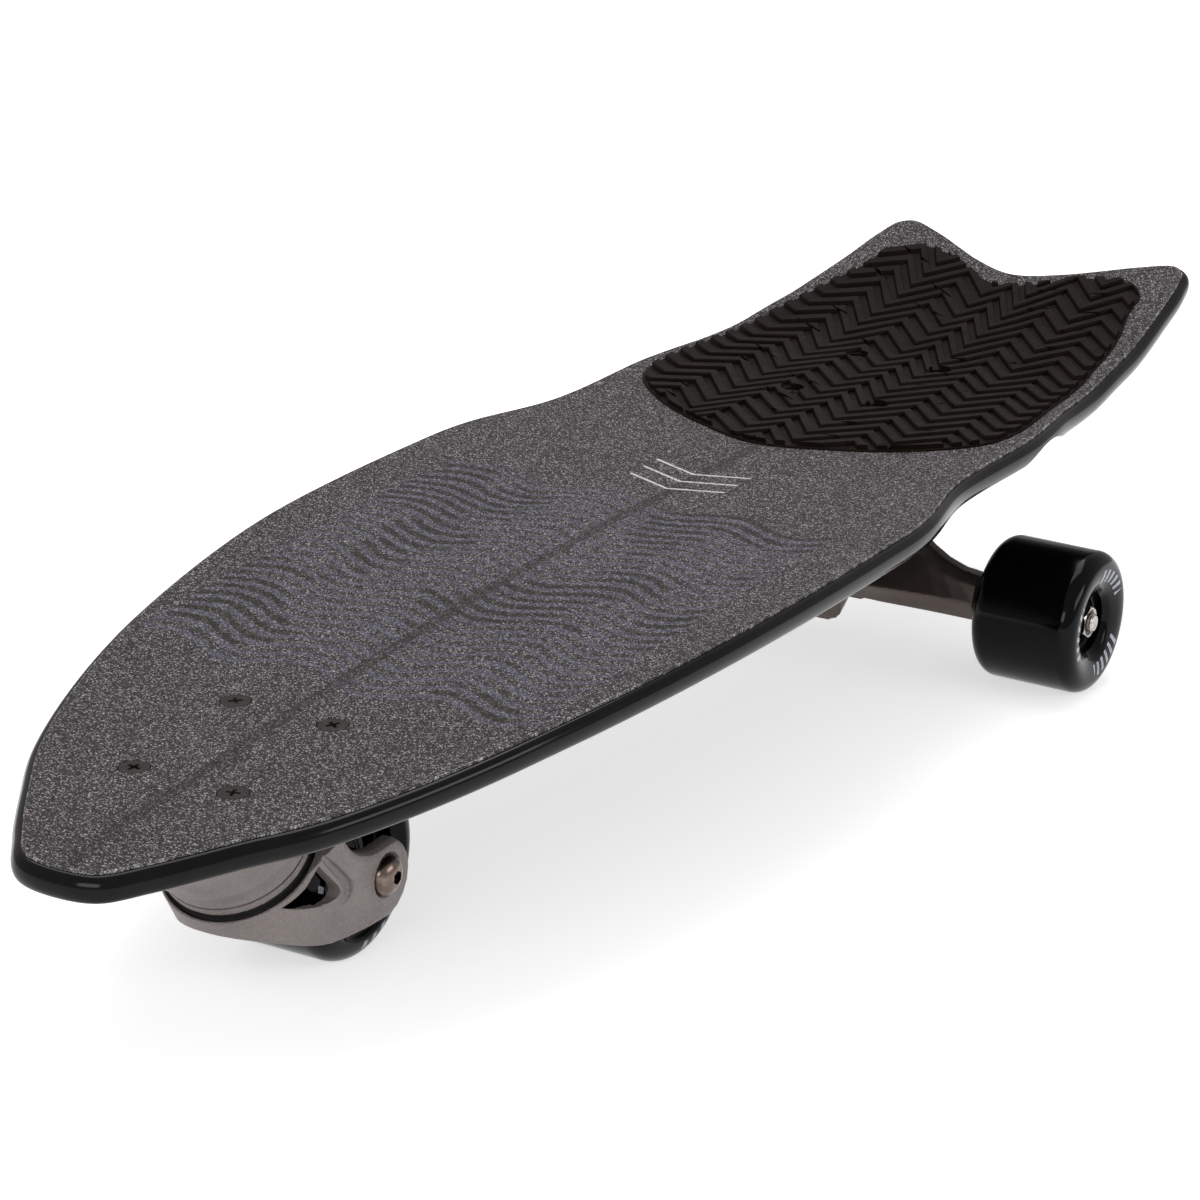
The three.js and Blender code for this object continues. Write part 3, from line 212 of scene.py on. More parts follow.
def loft_sheet(name, outline, margin, section, base, thickness, finish, steps=9, columns=20,
               edge_finish=None):
    """A sheet along the deck: both halves run from the middle line, or past the notch's root
    from the notch's edge, out to the rail."""
    tail_step = outline.side_spans * steps
    lobe_steps = outline.notch_spans * steps
    total = outline.spans * steps
    top_inset = section[0][0]
    bottom_inset, bottom_rise = section[-1]

    def edge(step, inset):
        return outline.edge(step / total, margin + inset)

    def lift(spot, rise):
        return (max(spot.x, 0), spot.y, base(spot.x, spot.y) + rise * thickness)

    def across(step, notch_step, past, inset):
        outer = edge(step, inset)
        inner = Vector((0, outer.y)) if past < 0 else edge(notch_step, inset)
        return [inner.lerp(outer, i / columns) for i in range(columns + 1)]

    rows = []
    for step in range(tail_step + 1):
        past = step - (tail_step - lobe_steps)
        notch_step = tail_step + lobe_steps - max(past, 0)
        top = [lift(s, 1) for s in across(step, notch_step, past, top_inset)]
        low = [lift(s, bottom_rise) for s in across(step, notch_step, past, bottom_inset)]
        rail = [lift(edge(step, inset), rise) for inset, rise in section[1:-1]]
        inner = [lift(edge(notch_step, inset), rise) for inset, rise in section[1:-1]]
        rows.append((top + rail + low[::-1], None if past < 0 else inner[::-1]))
    points = []
    faces = []
    edge_faces = []

    def band(near, far, rim):
        for j in range(len(near) - 1):
            for mirror in (1, -1):
                first = len(points)
                for x, y, z in (near[j], near[j + 1], far[j + 1], far[j]):
                    points.append((mirror * x, y, z))
                if j in rim:
                    edge_faces.append(len(faces))
                faces.append(tuple(range(first, first + 4))[::mirror])

    rail_bands = range(columns, columns + len(section) - 1)
    for (near, near_wall), (far, far_wall) in zip(rows, rows[1:]):
        band(near, far, rail_bands)
        if near_wall:
            band([near[-1], *near_wall, near[0]], [far[-1], *far_wall, far[0]],
                 range(len(section) - 1))
    return new_piece(name, points, faces, finish, edge_finish=edge_finish,
                     edge_faces=edge_faces if edge_finish else ())


def turned_piece(name, profile, at, finish, sides=96, sharp=math.radians(30)):
    """A body turned about the frame's Z from a closed list of radii and heights."""
    points = []
    faces = []
    count = len(profile)
    for i in range(sides):
        angle = 2 * math.pi * i / sides
        for radius, height in profile:
            spot = Vector((radius * math.cos(angle), radius * math.sin(angle), height))
            points.append(tuple(at @ spot))
    for i in range(sides):
        for j in range(count):
            k = (i + 1) % sides
            m = (j + 1) % count
            faces.append((i * count + j, k * count + j, k * count + m, i * count + m))
    return new_piece(name, points, faces, finish, sharp)


def cylinder(name, radius, low, high, at, finish, sides=96):
    profile = [(0, low), (radius, low), (radius, high), (0, high)]
    return turned_piece(name, profile, at, finish, sides)


def ink(red, green, blue):
    """A colour as printed, 0 to 255, made linear."""
    def linear(amount):
        share = amount / 255
        return share / 12.92 if share <= 0.04045 else ((share + 0.055) / 1.055) ** 2.4
    return (linear(red), linear(green), linear(blue), 1)


def begin_finish(name, metallic=0.0, specular=0.5):
    """A new material, with what stays the same all over it set on its shader."""
    finish = bpy.data.materials.new(name)
    finish.use_nodes = True
    shader = finish.node_tree.nodes["Principled BSDF"]
    shader.inputs["Metallic"].default_value = metallic
    shader.inputs["Specular IOR Level"].default_value = specular
    return finish, finish.node_tree, shader


def spot_on_piece(tree):
    return tree.nodes.new("ShaderNodeTexCoord").outputs["Object"]


def axis_of(tree, axis):
    node = tree.nodes.new("ShaderNodeSeparateXYZ")
    tree.links.new(spot_on_piece(tree), node.inputs["Vector"])
    return node.outputs[axis]


def noise(tree, scale, detail=3, stretch=(1, 1, 1)):
    mapping = tree.nodes.new("ShaderNodeMapping")
    mapping.inputs["Scale"].default_value = stretch
    tree.links.new(spot_on_piece(tree), mapping.inputs["Vector"])
    texture = tree.nodes.new("ShaderNodeTexNoise")
    texture.inputs["Scale"].default_value = scale
    texture.inputs["Detail"].default_value = detail
    tree.links.new(mapping.outputs["Vector"], texture.inputs["Vector"])
    return texture.outputs["Fac"]


def sums(tree, operation, *values):
    """One step of arithmetic on numbers or patterns."""
    node = tree.nodes.new("ShaderNodeMath")
    node.operation = operation
    for socket, value in zip(node.inputs, values):
        if isinstance(value, (int, float)):
            socket.default_value = value
        else:
            tree.links.new(value, socket)
    return node.outputs["Value"]


def step_up(tree, value, low, high):
    """0 below low, 1 above high, smooth between."""
    node = tree.nodes.new("ShaderNodeMapRange")
    node.interpolation_type = "SMOOTHSTEP"
    node.inputs["From Min"].default_value = low
    node.inputs["From Max"].default_value = high
    tree.links.new(value, node.inputs["Value"])
    return node.outputs["Result"]


def ramp(tree, value, stops):
    node = tree.nodes.new("ShaderNodeValToRGB")
    while len(node.color_ramp.elements) < len(stops):
        node.color_ramp.elements.new(0.5)
    for element, (position, colour) in zip(node.color_ramp.elements, stops):
        element.position = position
        element.color = colour
    tree.links.new(value, node.inputs["Fac"])
    return node.outputs["Color"]


def mixed(tree, factor, first, second):
    node = tree.nodes.new("ShaderNodeMix")
    node.data_type = "RGBA"
    tree.links.new(factor, node.inputs[0])
    for socket, value in zip([s for s in node.inputs if s.type == "RGBA"], (first, second)):
        if isinstance(value, tuple):
            socket.default_value = value
        else:
            tree.links.new(value, socket)
    return next(s for s in node.outputs if s.type == "RGBA")


def paint(tree, shader, colour):
    tree.links.new(colour, shader.inputs["Base Color"])


def polish(tree, shader, value, least, most):
    """Roughness that runs with a pattern from the least to the most."""
    tree.links.new(sums(tree, "MULTIPLY_ADD", value, most - least, least),
                   shader.inputs["Roughness"])


def texture_skin(tree, shader, height, distance, strength=1.0):
    """The fine relief of a surface, from a pattern of heights."""
    bump = tree.nodes.new("ShaderNodeBump")
    bump.inputs["Distance"].default_value = distance
    bump.inputs["Strength"].default_value = strength
    tree.links.new(height, bump.inputs["Height"])
    tree.links.new(bump.outputs["Normal"], shader.inputs["Normal"])


black_lacquer, tree, shader = begin_finish("black_lacquer", specular=0.15)
paint(tree, shader, ramp(tree, noise(tree, 60, 5), [(0.3, ink(8, 8, 9)), (0.75, ink(17, 16, 17))]))
polish(tree, shader, noise(tree, 90, 5, (1, 0.15, 1)), 0.06, 0.2)
texture_skin(tree, shader, noise(tree, 35, 2), 0.0003, 0.12)

rail_section = []
for rail_step in range(RAIL_STEPS + 1):
    rail_angle = math.pi * (0.5 - rail_step / RAIL_STEPS)
    rail_section.append((RAIL_REACH * (1 - math.cos(rail_angle)), (1 + math.sin(rail_angle)) / 2))
deck_outline = SwallowOutline(DECK_SIDE, DECK_TAIL, DECK_NOTCH, DECK_WIDTH, DECK_LENGTH,
                              -DECK_LENGTH / 2)
deck = loft_sheet("deck_board", deck_outline, 0, rail_section,
                  lambda x, y: deck_top(x, y) - DECK_THICKNESS, DECK_THICKNESS, black_lacquer)


def well_drum(side):
    """The round cutter that leaves a hollow over a rear wheel in the deck's underside."""
    turn = Matrix.Rotation(math.pi / 2, 4, "Y")
    lean = Matrix.Rotation(-side * math.atan2(WELL_DEPTH, WELL_REACH), 4, "Y")
    seat = Matrix.Translation((side * WELL_OUT, WELL_PLACE,
                               deck_top(WELL_OUT, WELL_PLACE) - DECK_THICKNESS))
    drop = Matrix.Translation((0, 0, WELL_DEPTH - WELL_RADIUS))
    return cylinder("well_drum", WELL_RADIUS, -WELL_REACH, WELL_REACH,
                    seat @ lean @ drop @ turn, black_lacquer, WELL_SIDES)


shape_with(deck, [well_drum(1), well_drum(-1)])
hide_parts("deck")
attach(deck, "board")

# The grip is a sheet of abrasive grit glued over the whole deck and trimmed a few millimetres
# inside the rail, where its torn edge shows bright. It carries a plain printed panel of ripples
# in blue-grey, a dark stringer line along the middle and three light arrow marks.
GRIP_THICKNESS = 1.08
GRIP_LIFT = 0.02
GRIP_MARGIN = 0.3
GRIT_SCALE = 2000
STRINGER_PLACE = 0.0026
STRINGER_HALF = 0.0026
PANEL_HALF_WIDTH = 0.087
PANEL_START = -0.216
PANEL_END = 0.018
RIPPLE_PITCH = 0.0086
RIPPLE_SWELL = 0.0062
RIPPLE_LENGTH = 0.058
ARROW_PLACE = 0.038
ARROW_HALF_WIDTH = 0.022
ARROW_PITCH = 0.0115
ARROW_LINE = 0.0008
ARROW_SLOPE = 0.42


def grains(tree, scale):
    """A random level for each grain."""
    cells = tree.nodes.new("ShaderNodeTexVoronoi")
    cells.inputs["Scale"].default_value = scale
    tree.links.new(spot_on_piece(tree), cells.inputs["Vector"])
    level_of = tree.nodes.new("ShaderNodeSeparateColor")
    tree.links.new(cells.outputs["Color"], level_of.inputs["Color"])
    return level_of.outputs[0], cells.outputs["Distance"]


grit, tree, shader = begin_finish("grit", specular=0.3)
grain, grain_dome = grains(tree, GRIT_SCALE)
fine_grain, fine_dome = grains(tree, 2 * GRIT_SCALE)
salt = sums(tree, "MULTIPLY_ADD", grain, 0.72, sums(tree, "MULTIPLY", fine_grain, 0.28))
charcoal = ramp(tree, salt, [(0.1, ink(18, 16, 18)), (0.45, ink(54, 50, 53)),
                             (0.72, ink(76, 71, 74)), (0.92, ink(212, 203, 204))])
blue_grey = ramp(tree, salt, [(0.1, ink(46, 45, 54)), (0.45, ink(74, 72, 83)),
                              (0.72, ink(94, 92, 106)), (0.92, ink(188, 185, 194))])
dark_print = ramp(tree, salt, [(0.1, ink(20, 18, 18)), (0.45, ink(42, 38, 38)),
                               (0.72, ink(58, 54, 53)), (0.92, ink(140, 134, 131))])
across = axis_of(tree, "X")
along = axis_of(tree, "Y")
drift = sums(tree, "MULTIPLY", noise(tree, 11, 2), 0.02)
swell = sums(tree, "MULTIPLY", sums(tree, "SINE", sums(
    tree, "MULTIPLY", across, 2 * math.pi / RIPPLE_LENGTH)), RIPPLE_SWELL)
ripple_place = sums(tree, "ADD", sums(tree, "ADD", along, swell), drift)
ripple = sums(tree, "SINE", sums(tree, "MULTIPLY", ripple_place, 2 * math.pi / RIPPLE_PITCH))
worn = sums(tree, "MULTIPLY_ADD", noise(tree, 170, 4), 3.2, -1.6)
patches = noise(tree, 24, 3)
line_mask = step_up(tree, sums(tree, "ADD", ripple, worn), 0.1, 0.5)
dark_mask = sums(tree, "MULTIPLY", step_up(tree, sums(tree, "SUBTRACT", worn, ripple), 0.0, 0.4),
                 step_up(tree, patches, 0.48, 0.54))
panel = sums(tree, "MULTIPLY", sums(tree, "LESS_THAN", sums(tree, "ABSOLUTE", across),
                                    PANEL_HALF_WIDTH),
             sums(tree, "MULTIPLY", step_up(tree, ripple_place, PANEL_START, PANEL_START + 0.001),
                  sums(tree, "LESS_THAN", ripple_place, PANEL_END)))
colour = mixed(tree, sums(tree, "MULTIPLY", panel, line_mask), charcoal, blue_grey)
colour = mixed(tree, sums(tree, "MULTIPLY", panel, dark_mask), colour, dark_print)
from_stringer = sums(tree, "ABSOLUTE", sums(tree, "SUBTRACT", across, STRINGER_PLACE))
stringer = sums(tree, "SUBTRACT", 1, step_up(tree, from_stringer, STRINGER_HALF * 0.8,
                                             STRINGER_HALF * 1.2))
colour = mixed(tree, sums(tree, "MULTIPLY", stringer, 0.75), colour, dark_print)
arrow_x = sums(tree, "ABSOLUTE", across)
arrow_y = sums(tree, "SUBTRACT", sums(tree, "SUBTRACT", along, ARROW_PLACE),
               sums(tree, "MULTIPLY", arrow_x, ARROW_SLOPE))
from_line = sums(tree, "PINGPONG", arrow_y, ARROW_PITCH / 2)
arrows = sums(tree, "MULTIPLY", sums(tree, "LESS_THAN", arrow_x, ARROW_HALF_WIDTH),
              sums(tree, "LESS_THAN", sums(tree, "ABSOLUTE", arrow_y), 1.3 * ARROW_PITCH))
arrow_line = sums(tree, "SUBTRACT", 1,
                  step_up(tree, from_line, ARROW_LINE * 0.8, ARROW_LINE * 1.2))
white_ink = ramp(tree, salt, [(0.1, ink(120, 118, 118)), (0.4, ink(222, 220, 218))])
colour = mixed(tree, sums(tree, "MULTIPLY", arrow_line, arrows), colour, white_ink)
paint(tree, shader, mixed(tree, sums(tree, "MULTIPLY", noise(tree, 13, 3), 0.16), colour,
                          ink(40, 38, 40)))
polish(tree, shader, grain, 0.75, 0.95)
texture_skin(tree, shader, sums(tree, "ADD", grain_dome, fine_dome), 0.0004, 0.6)

torn_grit, tree, shader = begin_finish("torn_grit", specular=0.3)
grain, grain_dome = grains(tree, 1.3 * GRIT_SCALE)
paint(tree, shader, ramp(tree, sums(tree, "MULTIPLY_ADD", noise(tree, 260, 3), 1.1,
                                    sums(tree, "MULTIPLY_ADD", grain, 0.7, -0.45)),
                         [(0.3, ink(46, 44, 45)), (0.58, ink(102, 99, 97)),
                          (0.85, ink(205, 201, 197))]))
polish(tree, shader, grain, 0.75, 0.95)
texture_skin(tree, shader, grain_dome, 0.0004, 0.6)

GRIP_EDGE = [(0.5, 1), (0.15, 0.93), (0, 0.6), (0, 0)]
grip = loft_sheet("grip_skin", deck_outline, RAIL_REACH + GRIP_MARGIN, GRIP_EDGE,
                  lambda x, y: deck_top(x, y) + GRIP_LIFT, GRIP_THICKNESS, grit,
                  edge_finish=torn_grit)

SCREW_ACROSS = 41.3
SCREW_ALONG = 63.5
FRONT_SCREWS = 110.5 - DECK_LENGTH / 2
REAR_SCREWS = DECK_LENGTH / 2 - 187
SEAT_GAP = 0.3
screw_spots = [(x * SCREW_ACROSS / 2, y * SCREW_ALONG / 2)
               for x, y in ((1, -1), (-1, -1), (1, 1), (-1, 1))]


def seat_frame(row, x, y, above):
    """A screw's frame: +Z out of the deck, its origin at a height above the deck's top."""
    rise = deck_top(0, row + SCREW_ALONG / 2) - deck_top(0, row - SCREW_ALONG / 2)
    slope = math.atan2(rise, SCREW_ALONG)
    seat = deck_top(0, row) - DECK_THICKNESS - SEAT_GAP
    return (Matrix.Translation((x, row + y * math.cos(slope), seat + y * math.sin(slope)))
            @ Matrix.Rotation(slope, 4, "X")
            @ Matrix.Translation((0, 0, DECK_THICKNESS + SEAT_GAP + above)))


GRIP_HOLE = 6.0
GRIP_HOLE_MOUTH = GRIP_HOLE + 0.64
GRIP_HOLE_CUTTER = [(0, -3), (GRIP_HOLE, -3), (GRIP_HOLE, 0.75), (GRIP_HOLE_MOUTH, 2.2),
                    (GRIP_HOLE_MOUTH, 6), (0, 6)]
for row in (FRONT_SCREWS, REAR_SCREWS):
    for x, y in screw_spots:
        shape_with(grip, [turned_piece("grip_hole", GRIP_HOLE_CUTTER, seat_frame(row, x, y, 0),
                                       torn_grit, 64)])
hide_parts("grip_sheet")
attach(grip, "board")

# The tail pad is moulded brown-black rubber glued over the grip: a thin base with wide raised
# zig-zag bars that run from side to side and are broken by slanting cuts. Each turn of a bar
# has its place across at the pad's front, its place at the tail, and its step along the board;
# each cut in CUTS has its start across, its length, its angle and its step along.
PAD_LENGTH = 270
PAD_WIDTH = 175
PAD_TO_TAIL = 26
PAD_START = DECK_LENGTH / 2 - PAD_TO_TAIL - PAD_LENGTH
PAD_LIFT = 1.25
PAD_BASE = 0.9
PAD_TOTAL = 2.75
PAD_SIDE = [
    (0, 0), (0.343, 0.039), (0.674, 0.1035), (0.937, 0.192), (1, 0.27), (0.96, 0.477),
    (0.945, 0.545), (0.927, 0.61), (0.905, 0.674), (0.88, 0.739), (0.84, 0.81),
    (0.777, 0.887), (0.743, 0.961), (0.686, 0.983),
]
PAD_TAIL = (0.583, 1)
PAD_NOTCH = [(0, 0.911), (0.229, 0.95), (0.354, 0.983), (0.47, 0.994)]
BAR_PITCH = 12.7
BAR_HALF = 3.3
BAR_FOOT = 0.45
BAR_BEVEL = 0.5
BAR_SUNK = 0.3
BAR_EDGE = 1.2
BAR_TURNS = [(-105, -98, -3), (-90, -82, 10), (-76, -66, 0), (-60, -50, 12), (-42, -36.5, -11),
             (-28, -18, 12), (-9, -2, -8), (1, 7, 6), (15, 17.5, -14), (36, 32, 12),
             (51, 46.5, -5), (67, 59.5, 13), (81, 74, -2), (97, 90, 11)]
BAR_FRONT = 150
BAR_TAIL = 340
BAR_PARTS = 8
BAR_STAYS_SHARP = math.radians(25)
CUT_SEED = 11
CUT_ROWS = 11
CUT_START = 118
CUT_PITCH = 22.5
CUTS = ((-64, 30, -33, 20), (-30, 24, -28, -9), (19, 13, 24, 4), (45, 14, 24, 11))
CUT_HALF_WIDTH = 0.85
CUT_BELOW = 20
CUT_ABOVE = 30
CUT_LEFT_OUT = 0.22
TRIM_STEPS = 240
TRIM_HEIGHTS = (50, 200)
PAD_HOLE = 4.7
BAR_HOLE = 5.1

pad_rubber, tree, shader = begin_finish("pad_rubber", specular=0.05)
paint(tree, shader, ramp(tree, noise(tree, 70, 5),
                         [(0.35, ink(16, 10, 7)), (0.7, ink(25, 17, 13))]))
polish(tree, shader, noise(tree, 240, 4), 0.38, 0.62)
texture_skin(tree, shader, sums(tree, "ADD", noise(tree, 1400, 2), noise(tree, 160, 3)), 0.0002,
             0.4)

pad_outline = SwallowOutline(PAD_SIDE, PAD_TAIL, PAD_NOTCH, PAD_WIDTH, PAD_LENGTH, PAD_START)
pad = loft_sheet("tail_pad", pad_outline, 0, [(0.5, 1), (0, 0.4), (0, 0)],
                 lambda x, y: deck_top(x, y) + PAD_LIFT, PAD_BASE, pad_rubber)
bar_height = PAD_TOTAL - PAD_BASE
bar_shape = [(-BAR_HALF - BAR_FOOT, -BAR_SUNK), (-BAR_HALF, bar_height - BAR_BEVEL),
             (-BAR_HALF + BAR_BEVEL, bar_height), (BAR_HALF - BAR_BEVEL, bar_height),
             (BAR_HALF, bar_height - BAR_BEVEL), (BAR_HALF + BAR_FOOT, -BAR_SUNK)]
bar_points = []
bar_faces = []
for row in range(-1, int(PAD_LENGTH / BAR_PITCH) + 2):
    row_y = PAD_START + row * BAR_PITCH
    share = (row_y - BAR_FRONT) / (BAR_TAIL - BAR_FRONT)
    corners = [Vector((front + (tail - front) * share, row_y + rise))
               for front, tail, rise in BAR_TURNS]
    line = [a.lerp(b, i / BAR_PARTS) for a, b in zip(corners, corners[1:])
            for i in range(BAR_PARTS)] + corners[-1:]
    first = len(bar_points)
    for x, middle in line:
        for aside, rise in bar_shape:
            y = middle + aside
            seat = deck_top(x, min(y, DECK_LENGTH / 2)) + PAD_LIFT + PAD_BASE
            bar_points.append((x, y, seat + rise))
    n = len(bar_shape)
    for i in range(len(line) - 1):
        for j in range(n):
            k = (j + 1) % n
            a = first + i * n
            bar_faces.append((a + j, a + k, a + n + k, a + n + j))
    bar_faces.append(tuple(range(first, first + n)))
    bar_faces.append(tuple(range(first + (len(line) - 1) * n, first + len(line) * n))[::-1])
bars = new_piece("pad_bars", bar_points, bar_faces, pad_rubber, BAR_STAYS_SHARP)


def prism_shape(ring, levels, at, first=0):
    """A straight or tapered block on an outline, from heights and shares of the outline."""
    middle = sum((Vector(p) for p in ring), Vector((0, 0))) / len(ring)
    points = []
    for height, share in levels:
        points += [at @ Vector((*(middle + (Vector(p) - middle) * share), height)) for p in ring]
    n = len(ring)
    faces = [(k * n + i, k * n + (i + 1) % n, (k + 1) * n + (i + 1) % n, (k + 1) * n + i)
             for k in range(len(levels) - 1) for i in range(n)]
    faces += [tuple(range(n))[::-1], tuple(range((len(levels) - 1) * n, len(levels) * n))]
    return points, [tuple(first + i for i in face) for face in faces]


def prism(name, ring, levels, at, finish):
    """That block as a piece of its own, or as a cutter."""
    return new_piece(name, *prism_shape(ring, levels, at), finish)


draw = random.Random(CUT_SEED)
cut_points = []
cut_faces = []
for cut_row in range(CUT_ROWS):
    cut_y = CUT_START + CUT_PITCH * cut_row
    for start, length, angle, slip in CUTS:
        if draw.random() < CUT_LEFT_OUT:
            continue
        cut_start = Vector((start + draw.uniform(-5, 5), cut_y + slip + draw.uniform(-3, 3)))
        turn = math.radians(angle + draw.uniform(-6, 6))
        ahead = Vector((math.cos(turn), math.sin(turn)))
        aside = Vector((-ahead.y, ahead.x))
        reach = length * draw.uniform(0.75, 1.1)
        width = CUT_HALF_WIDTH * draw.uniform(0.8, 1.5)
        ring = [cut_start, cut_start + ahead * reach * 0.35 - aside * width,
                cut_start + ahead * reach * 0.7 - aside * width * 0.7, cut_start + ahead * reach,
                cut_start + ahead * reach * 0.6 + aside * width,
                cut_start + ahead * reach * 0.25 + aside * width * 0.7]
        low = deck_top(cut_start.x, cut_start.y) + PAD_LIFT
        points, faces = prism_shape(ring, [(low - CUT_BELOW, 1), (low + CUT_ABOVE, 1)],
                                    Matrix.Identity(4), len(cut_points))
        cut_points += points
        cut_faces += faces
shape_with(bars, [new_piece("pad_cuts", cut_points, cut_faces, pad_rubber)],
           sharp=BAR_STAYS_SHARP)
trim_ring = [pad_outline.edge(i / TRIM_STEPS, BAR_EDGE) for i in range(TRIM_STEPS)]
pad_trim = prism("pad_trim", trim_ring, [(height, 1) for height in TRIM_HEIGHTS],
                 Matrix.Identity(4), pad_rubber)
shape_with(bars, [pad_trim], "INTERSECT", BAR_STAYS_SHARP)
for x, y in screw_spots:
    at = seat_frame(REAR_SCREWS, x, y, 0)
    shape_with(pad, [cylinder("pad_hole", PAD_HOLE, -3, 12, at, pad_rubber, 64)])
    shape_with(bars, [cylinder("bar_hole", BAR_HOLE, -3, 12, at, pad_rubber, 64)],
               sharp=BAR_STAYS_SHARP)
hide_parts("traction_pad")
for part in (pad, bars):
    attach(part, "board")

# Each truck hangs on four countersunk machine screws with cross recesses, brown-black oxide,
# drawn a little into the grip or under the pad's holes.
HEAD_RADIUS = 5.7
HEAD_DEPTH = 3.2
SHANK_RADIUS = 2.4
RECESS_HALF_LENGTH = 2.9
RECESS_HALF_WIDTH = 0.8
RECESS_DEPTH = 2.2
FRONT_SCREW_LENGTH = 24.3
REAR_SCREW_LENGTH = 36
FRONT_SCREW_ABOVE = 0.8
REAR_SCREW_ABOVE = 1.1

# The screws' brown-black oxide is their own colour; on the front sleeves, the front wheel's bearings and the nuts
# under the deck the same dark finish is painted shade.
black_steel, tree, shader = begin_finish("black_steel", metallic=0.2, specular=0.2)
paint(tree, shader, ramp(tree, noise(tree, 420, 5),
                         [(0.3, ink(24, 18, 16)), (0.6, ink(38, 31, 28)), (0.85, ink(60, 51, 47))]))
polish(tree, shader, noise(tree, 600, 4), 0.4, 0.62)
texture_skin(tree, shader, noise(tree, 1500, 3), 0.0002, 0.4)


def deck_screw(name, at, length):
    profile = [(0, -length), (SHANK_RADIUS, -length), (SHANK_RADIUS, -HEAD_DEPTH),
               (HEAD_RADIUS, -0.5), (HEAD_RADIUS, -0.2), (HEAD_RADIUS - 0.25, 0),
               (HEAD_RADIUS - 1.2, 0.05), (0, 0.1)]
    made = turned_piece(name, profile, at, black_steel, 64)
    w, l = RECESS_HALF_WIDTH, RECESS_HALF_LENGTH
    cross = [(w, w), (w, l), (-w, l), (-w, w), (-l, w), (-l, -w), (-w, -w), (-w, -l), (w, -l),
             (w, -w), (l, -w), (l, w)]
    shape_with(made, [prism("recess", cross, [(-RECESS_DEPTH, 0.4), (1, 1.15)], at, black_steel)])
    return made


for end, row, above, length in (
        ("front", FRONT_SCREWS, FRONT_SCREW_ABOVE, FRONT_SCREW_LENGTH),
        ("rear", REAR_SCREWS, REAR_SCREW_ABOVE, REAR_SCREW_LENGTH)):
    for number, (x, y) in enumerate(screw_spots, 1):
        at = seat_frame(row, x, y, above) @ Matrix.Rotation(draw.uniform(0, math.pi / 2), 4, "Z")
        made = deck_screw(f"{end}_deck_screw_{number}", at, length)
        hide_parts(f"{end}_screw_{number}")
        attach(made, "board")

# The housing of the swivel is an alloy casting that hangs from the deck's front on its flange
# and flares out from the swivel's slit. It is blasted, so it is a soft warm grey all over.
joint_of = {joint["name"]: joint for joint in frame["joints"]}
CAST_VOXEL = 0.5
HOUSING_PROFILE = [
    (0, 2.2), (27.6, 2.2), (28, 2.5), (28, 9.2), (28.5, 11.2), (29.6, 13.8), (31.3, 16.7),
    (34.2, 26), (36.6, 34), (38, 39.2), (38, 120), (0, 120),
]
HOUSING_GROOVE = [(27.2, 5.7), (29, 5.5), (29, 6.7), (27.2, 6.5)]
HOUSING_HALF_WIDTH = 34
FLANGE_HALF = (30, 44)
FLANGE_CORNER = 9
FLANGE_THICKNESS = 6
FLANGE_GAP = 0.02
HOUSING_ROUNDS = 3
BEARING_SEAT = 17.3
BEARING_SEAT_TOP = 9.2
PIN_ROOM = 7
REACH = 120


def place_of(joint):
    return Vector(joint_of[joint]["pos_m"]) / MM


def frame_on(joint, ahead, up):
    """A frame at a joint's place, turned about X so that it lines up with the joint's axis."""
    axis = Vector(joint_of[joint]["axis"])
    return (Matrix.Translation(place_of(joint))
            @ Matrix.Rotation(math.atan2(axis.dot(ahead), axis.dot(up)), 4, "X"))


swivel_frame = frame_on("fork_swivel", Vector((0, -1, 0)), Vector((0, 0, 1)))
swivel_seat = seat_frame(FRONT_SCREWS, 0, 0, -DECK_THICKNESS - SEAT_GAP)

cast_alloy, tree, shader = begin_finish("cast_alloy", metallic=0.3, specular=0.35)
speckle, speckle_dome = grains(tree, 1500)
skin_level = sums(tree, "MULTIPLY_ADD", noise(tree, 60, 4), 0.7,
                  sums(tree, "MULTIPLY", speckle, 0.3))
paint(tree, shader, ramp(tree, skin_level,
                         [(0.25, ink(126, 118, 116)), (0.75, ink(150, 142, 139))]))
polish(tree, shader, noise(tree, 500, 3), 0.42, 0.6)
texture_skin(tree, shader, sums(tree, "ADD", speckle_dome, noise(tree, 900, 3)), 0.0003, 0.45)


def cast_over(made, finish, rounds, voxel=CAST_VOXEL, sharp=math.radians(50)):
    """Rounds every edge of a solid as a mould and blasting leave it."""
    skin = made.modifiers.new("skin", "REMESH")
    skin.mode = "VOXEL"
    skin.voxel_size = voxel * MM
    skin.use_smooth_shade = True
    soften = made.modifiers.new("soften", "SMOOTH")
    soften.factor = 0.5
    soften.iterations = rounds
    settle(made, sharp)
    made.data.materials.clear()
    made.data.materials.append(finish)


def rounded_plate_ring(half, corner, steps=10):
    ring = []
    for sx, sy, start in ((1, 1, 0), (-1, 1, 1), (-1, -1, 2), (1, -1, 3)):
        for i in range(steps + 1):
            turn = math.pi / 2 * (start + i / steps)
            ring.append((sx * (half[0] - corner) + corner * math.cos(turn),
                         sy * (half[1] - corner) + corner * math.sin(turn)))
    return ring


def box(name, low, high, at, finish):
    """A square block that only cuts: no piece keeps it."""
    ring = [(low[0], low[1]), (high[0], low[1]), (high[0], high[1]), (low[0], high[1])]
    return prism(name, ring, [(low[2], 1), (high[2], 1)], at, finish)


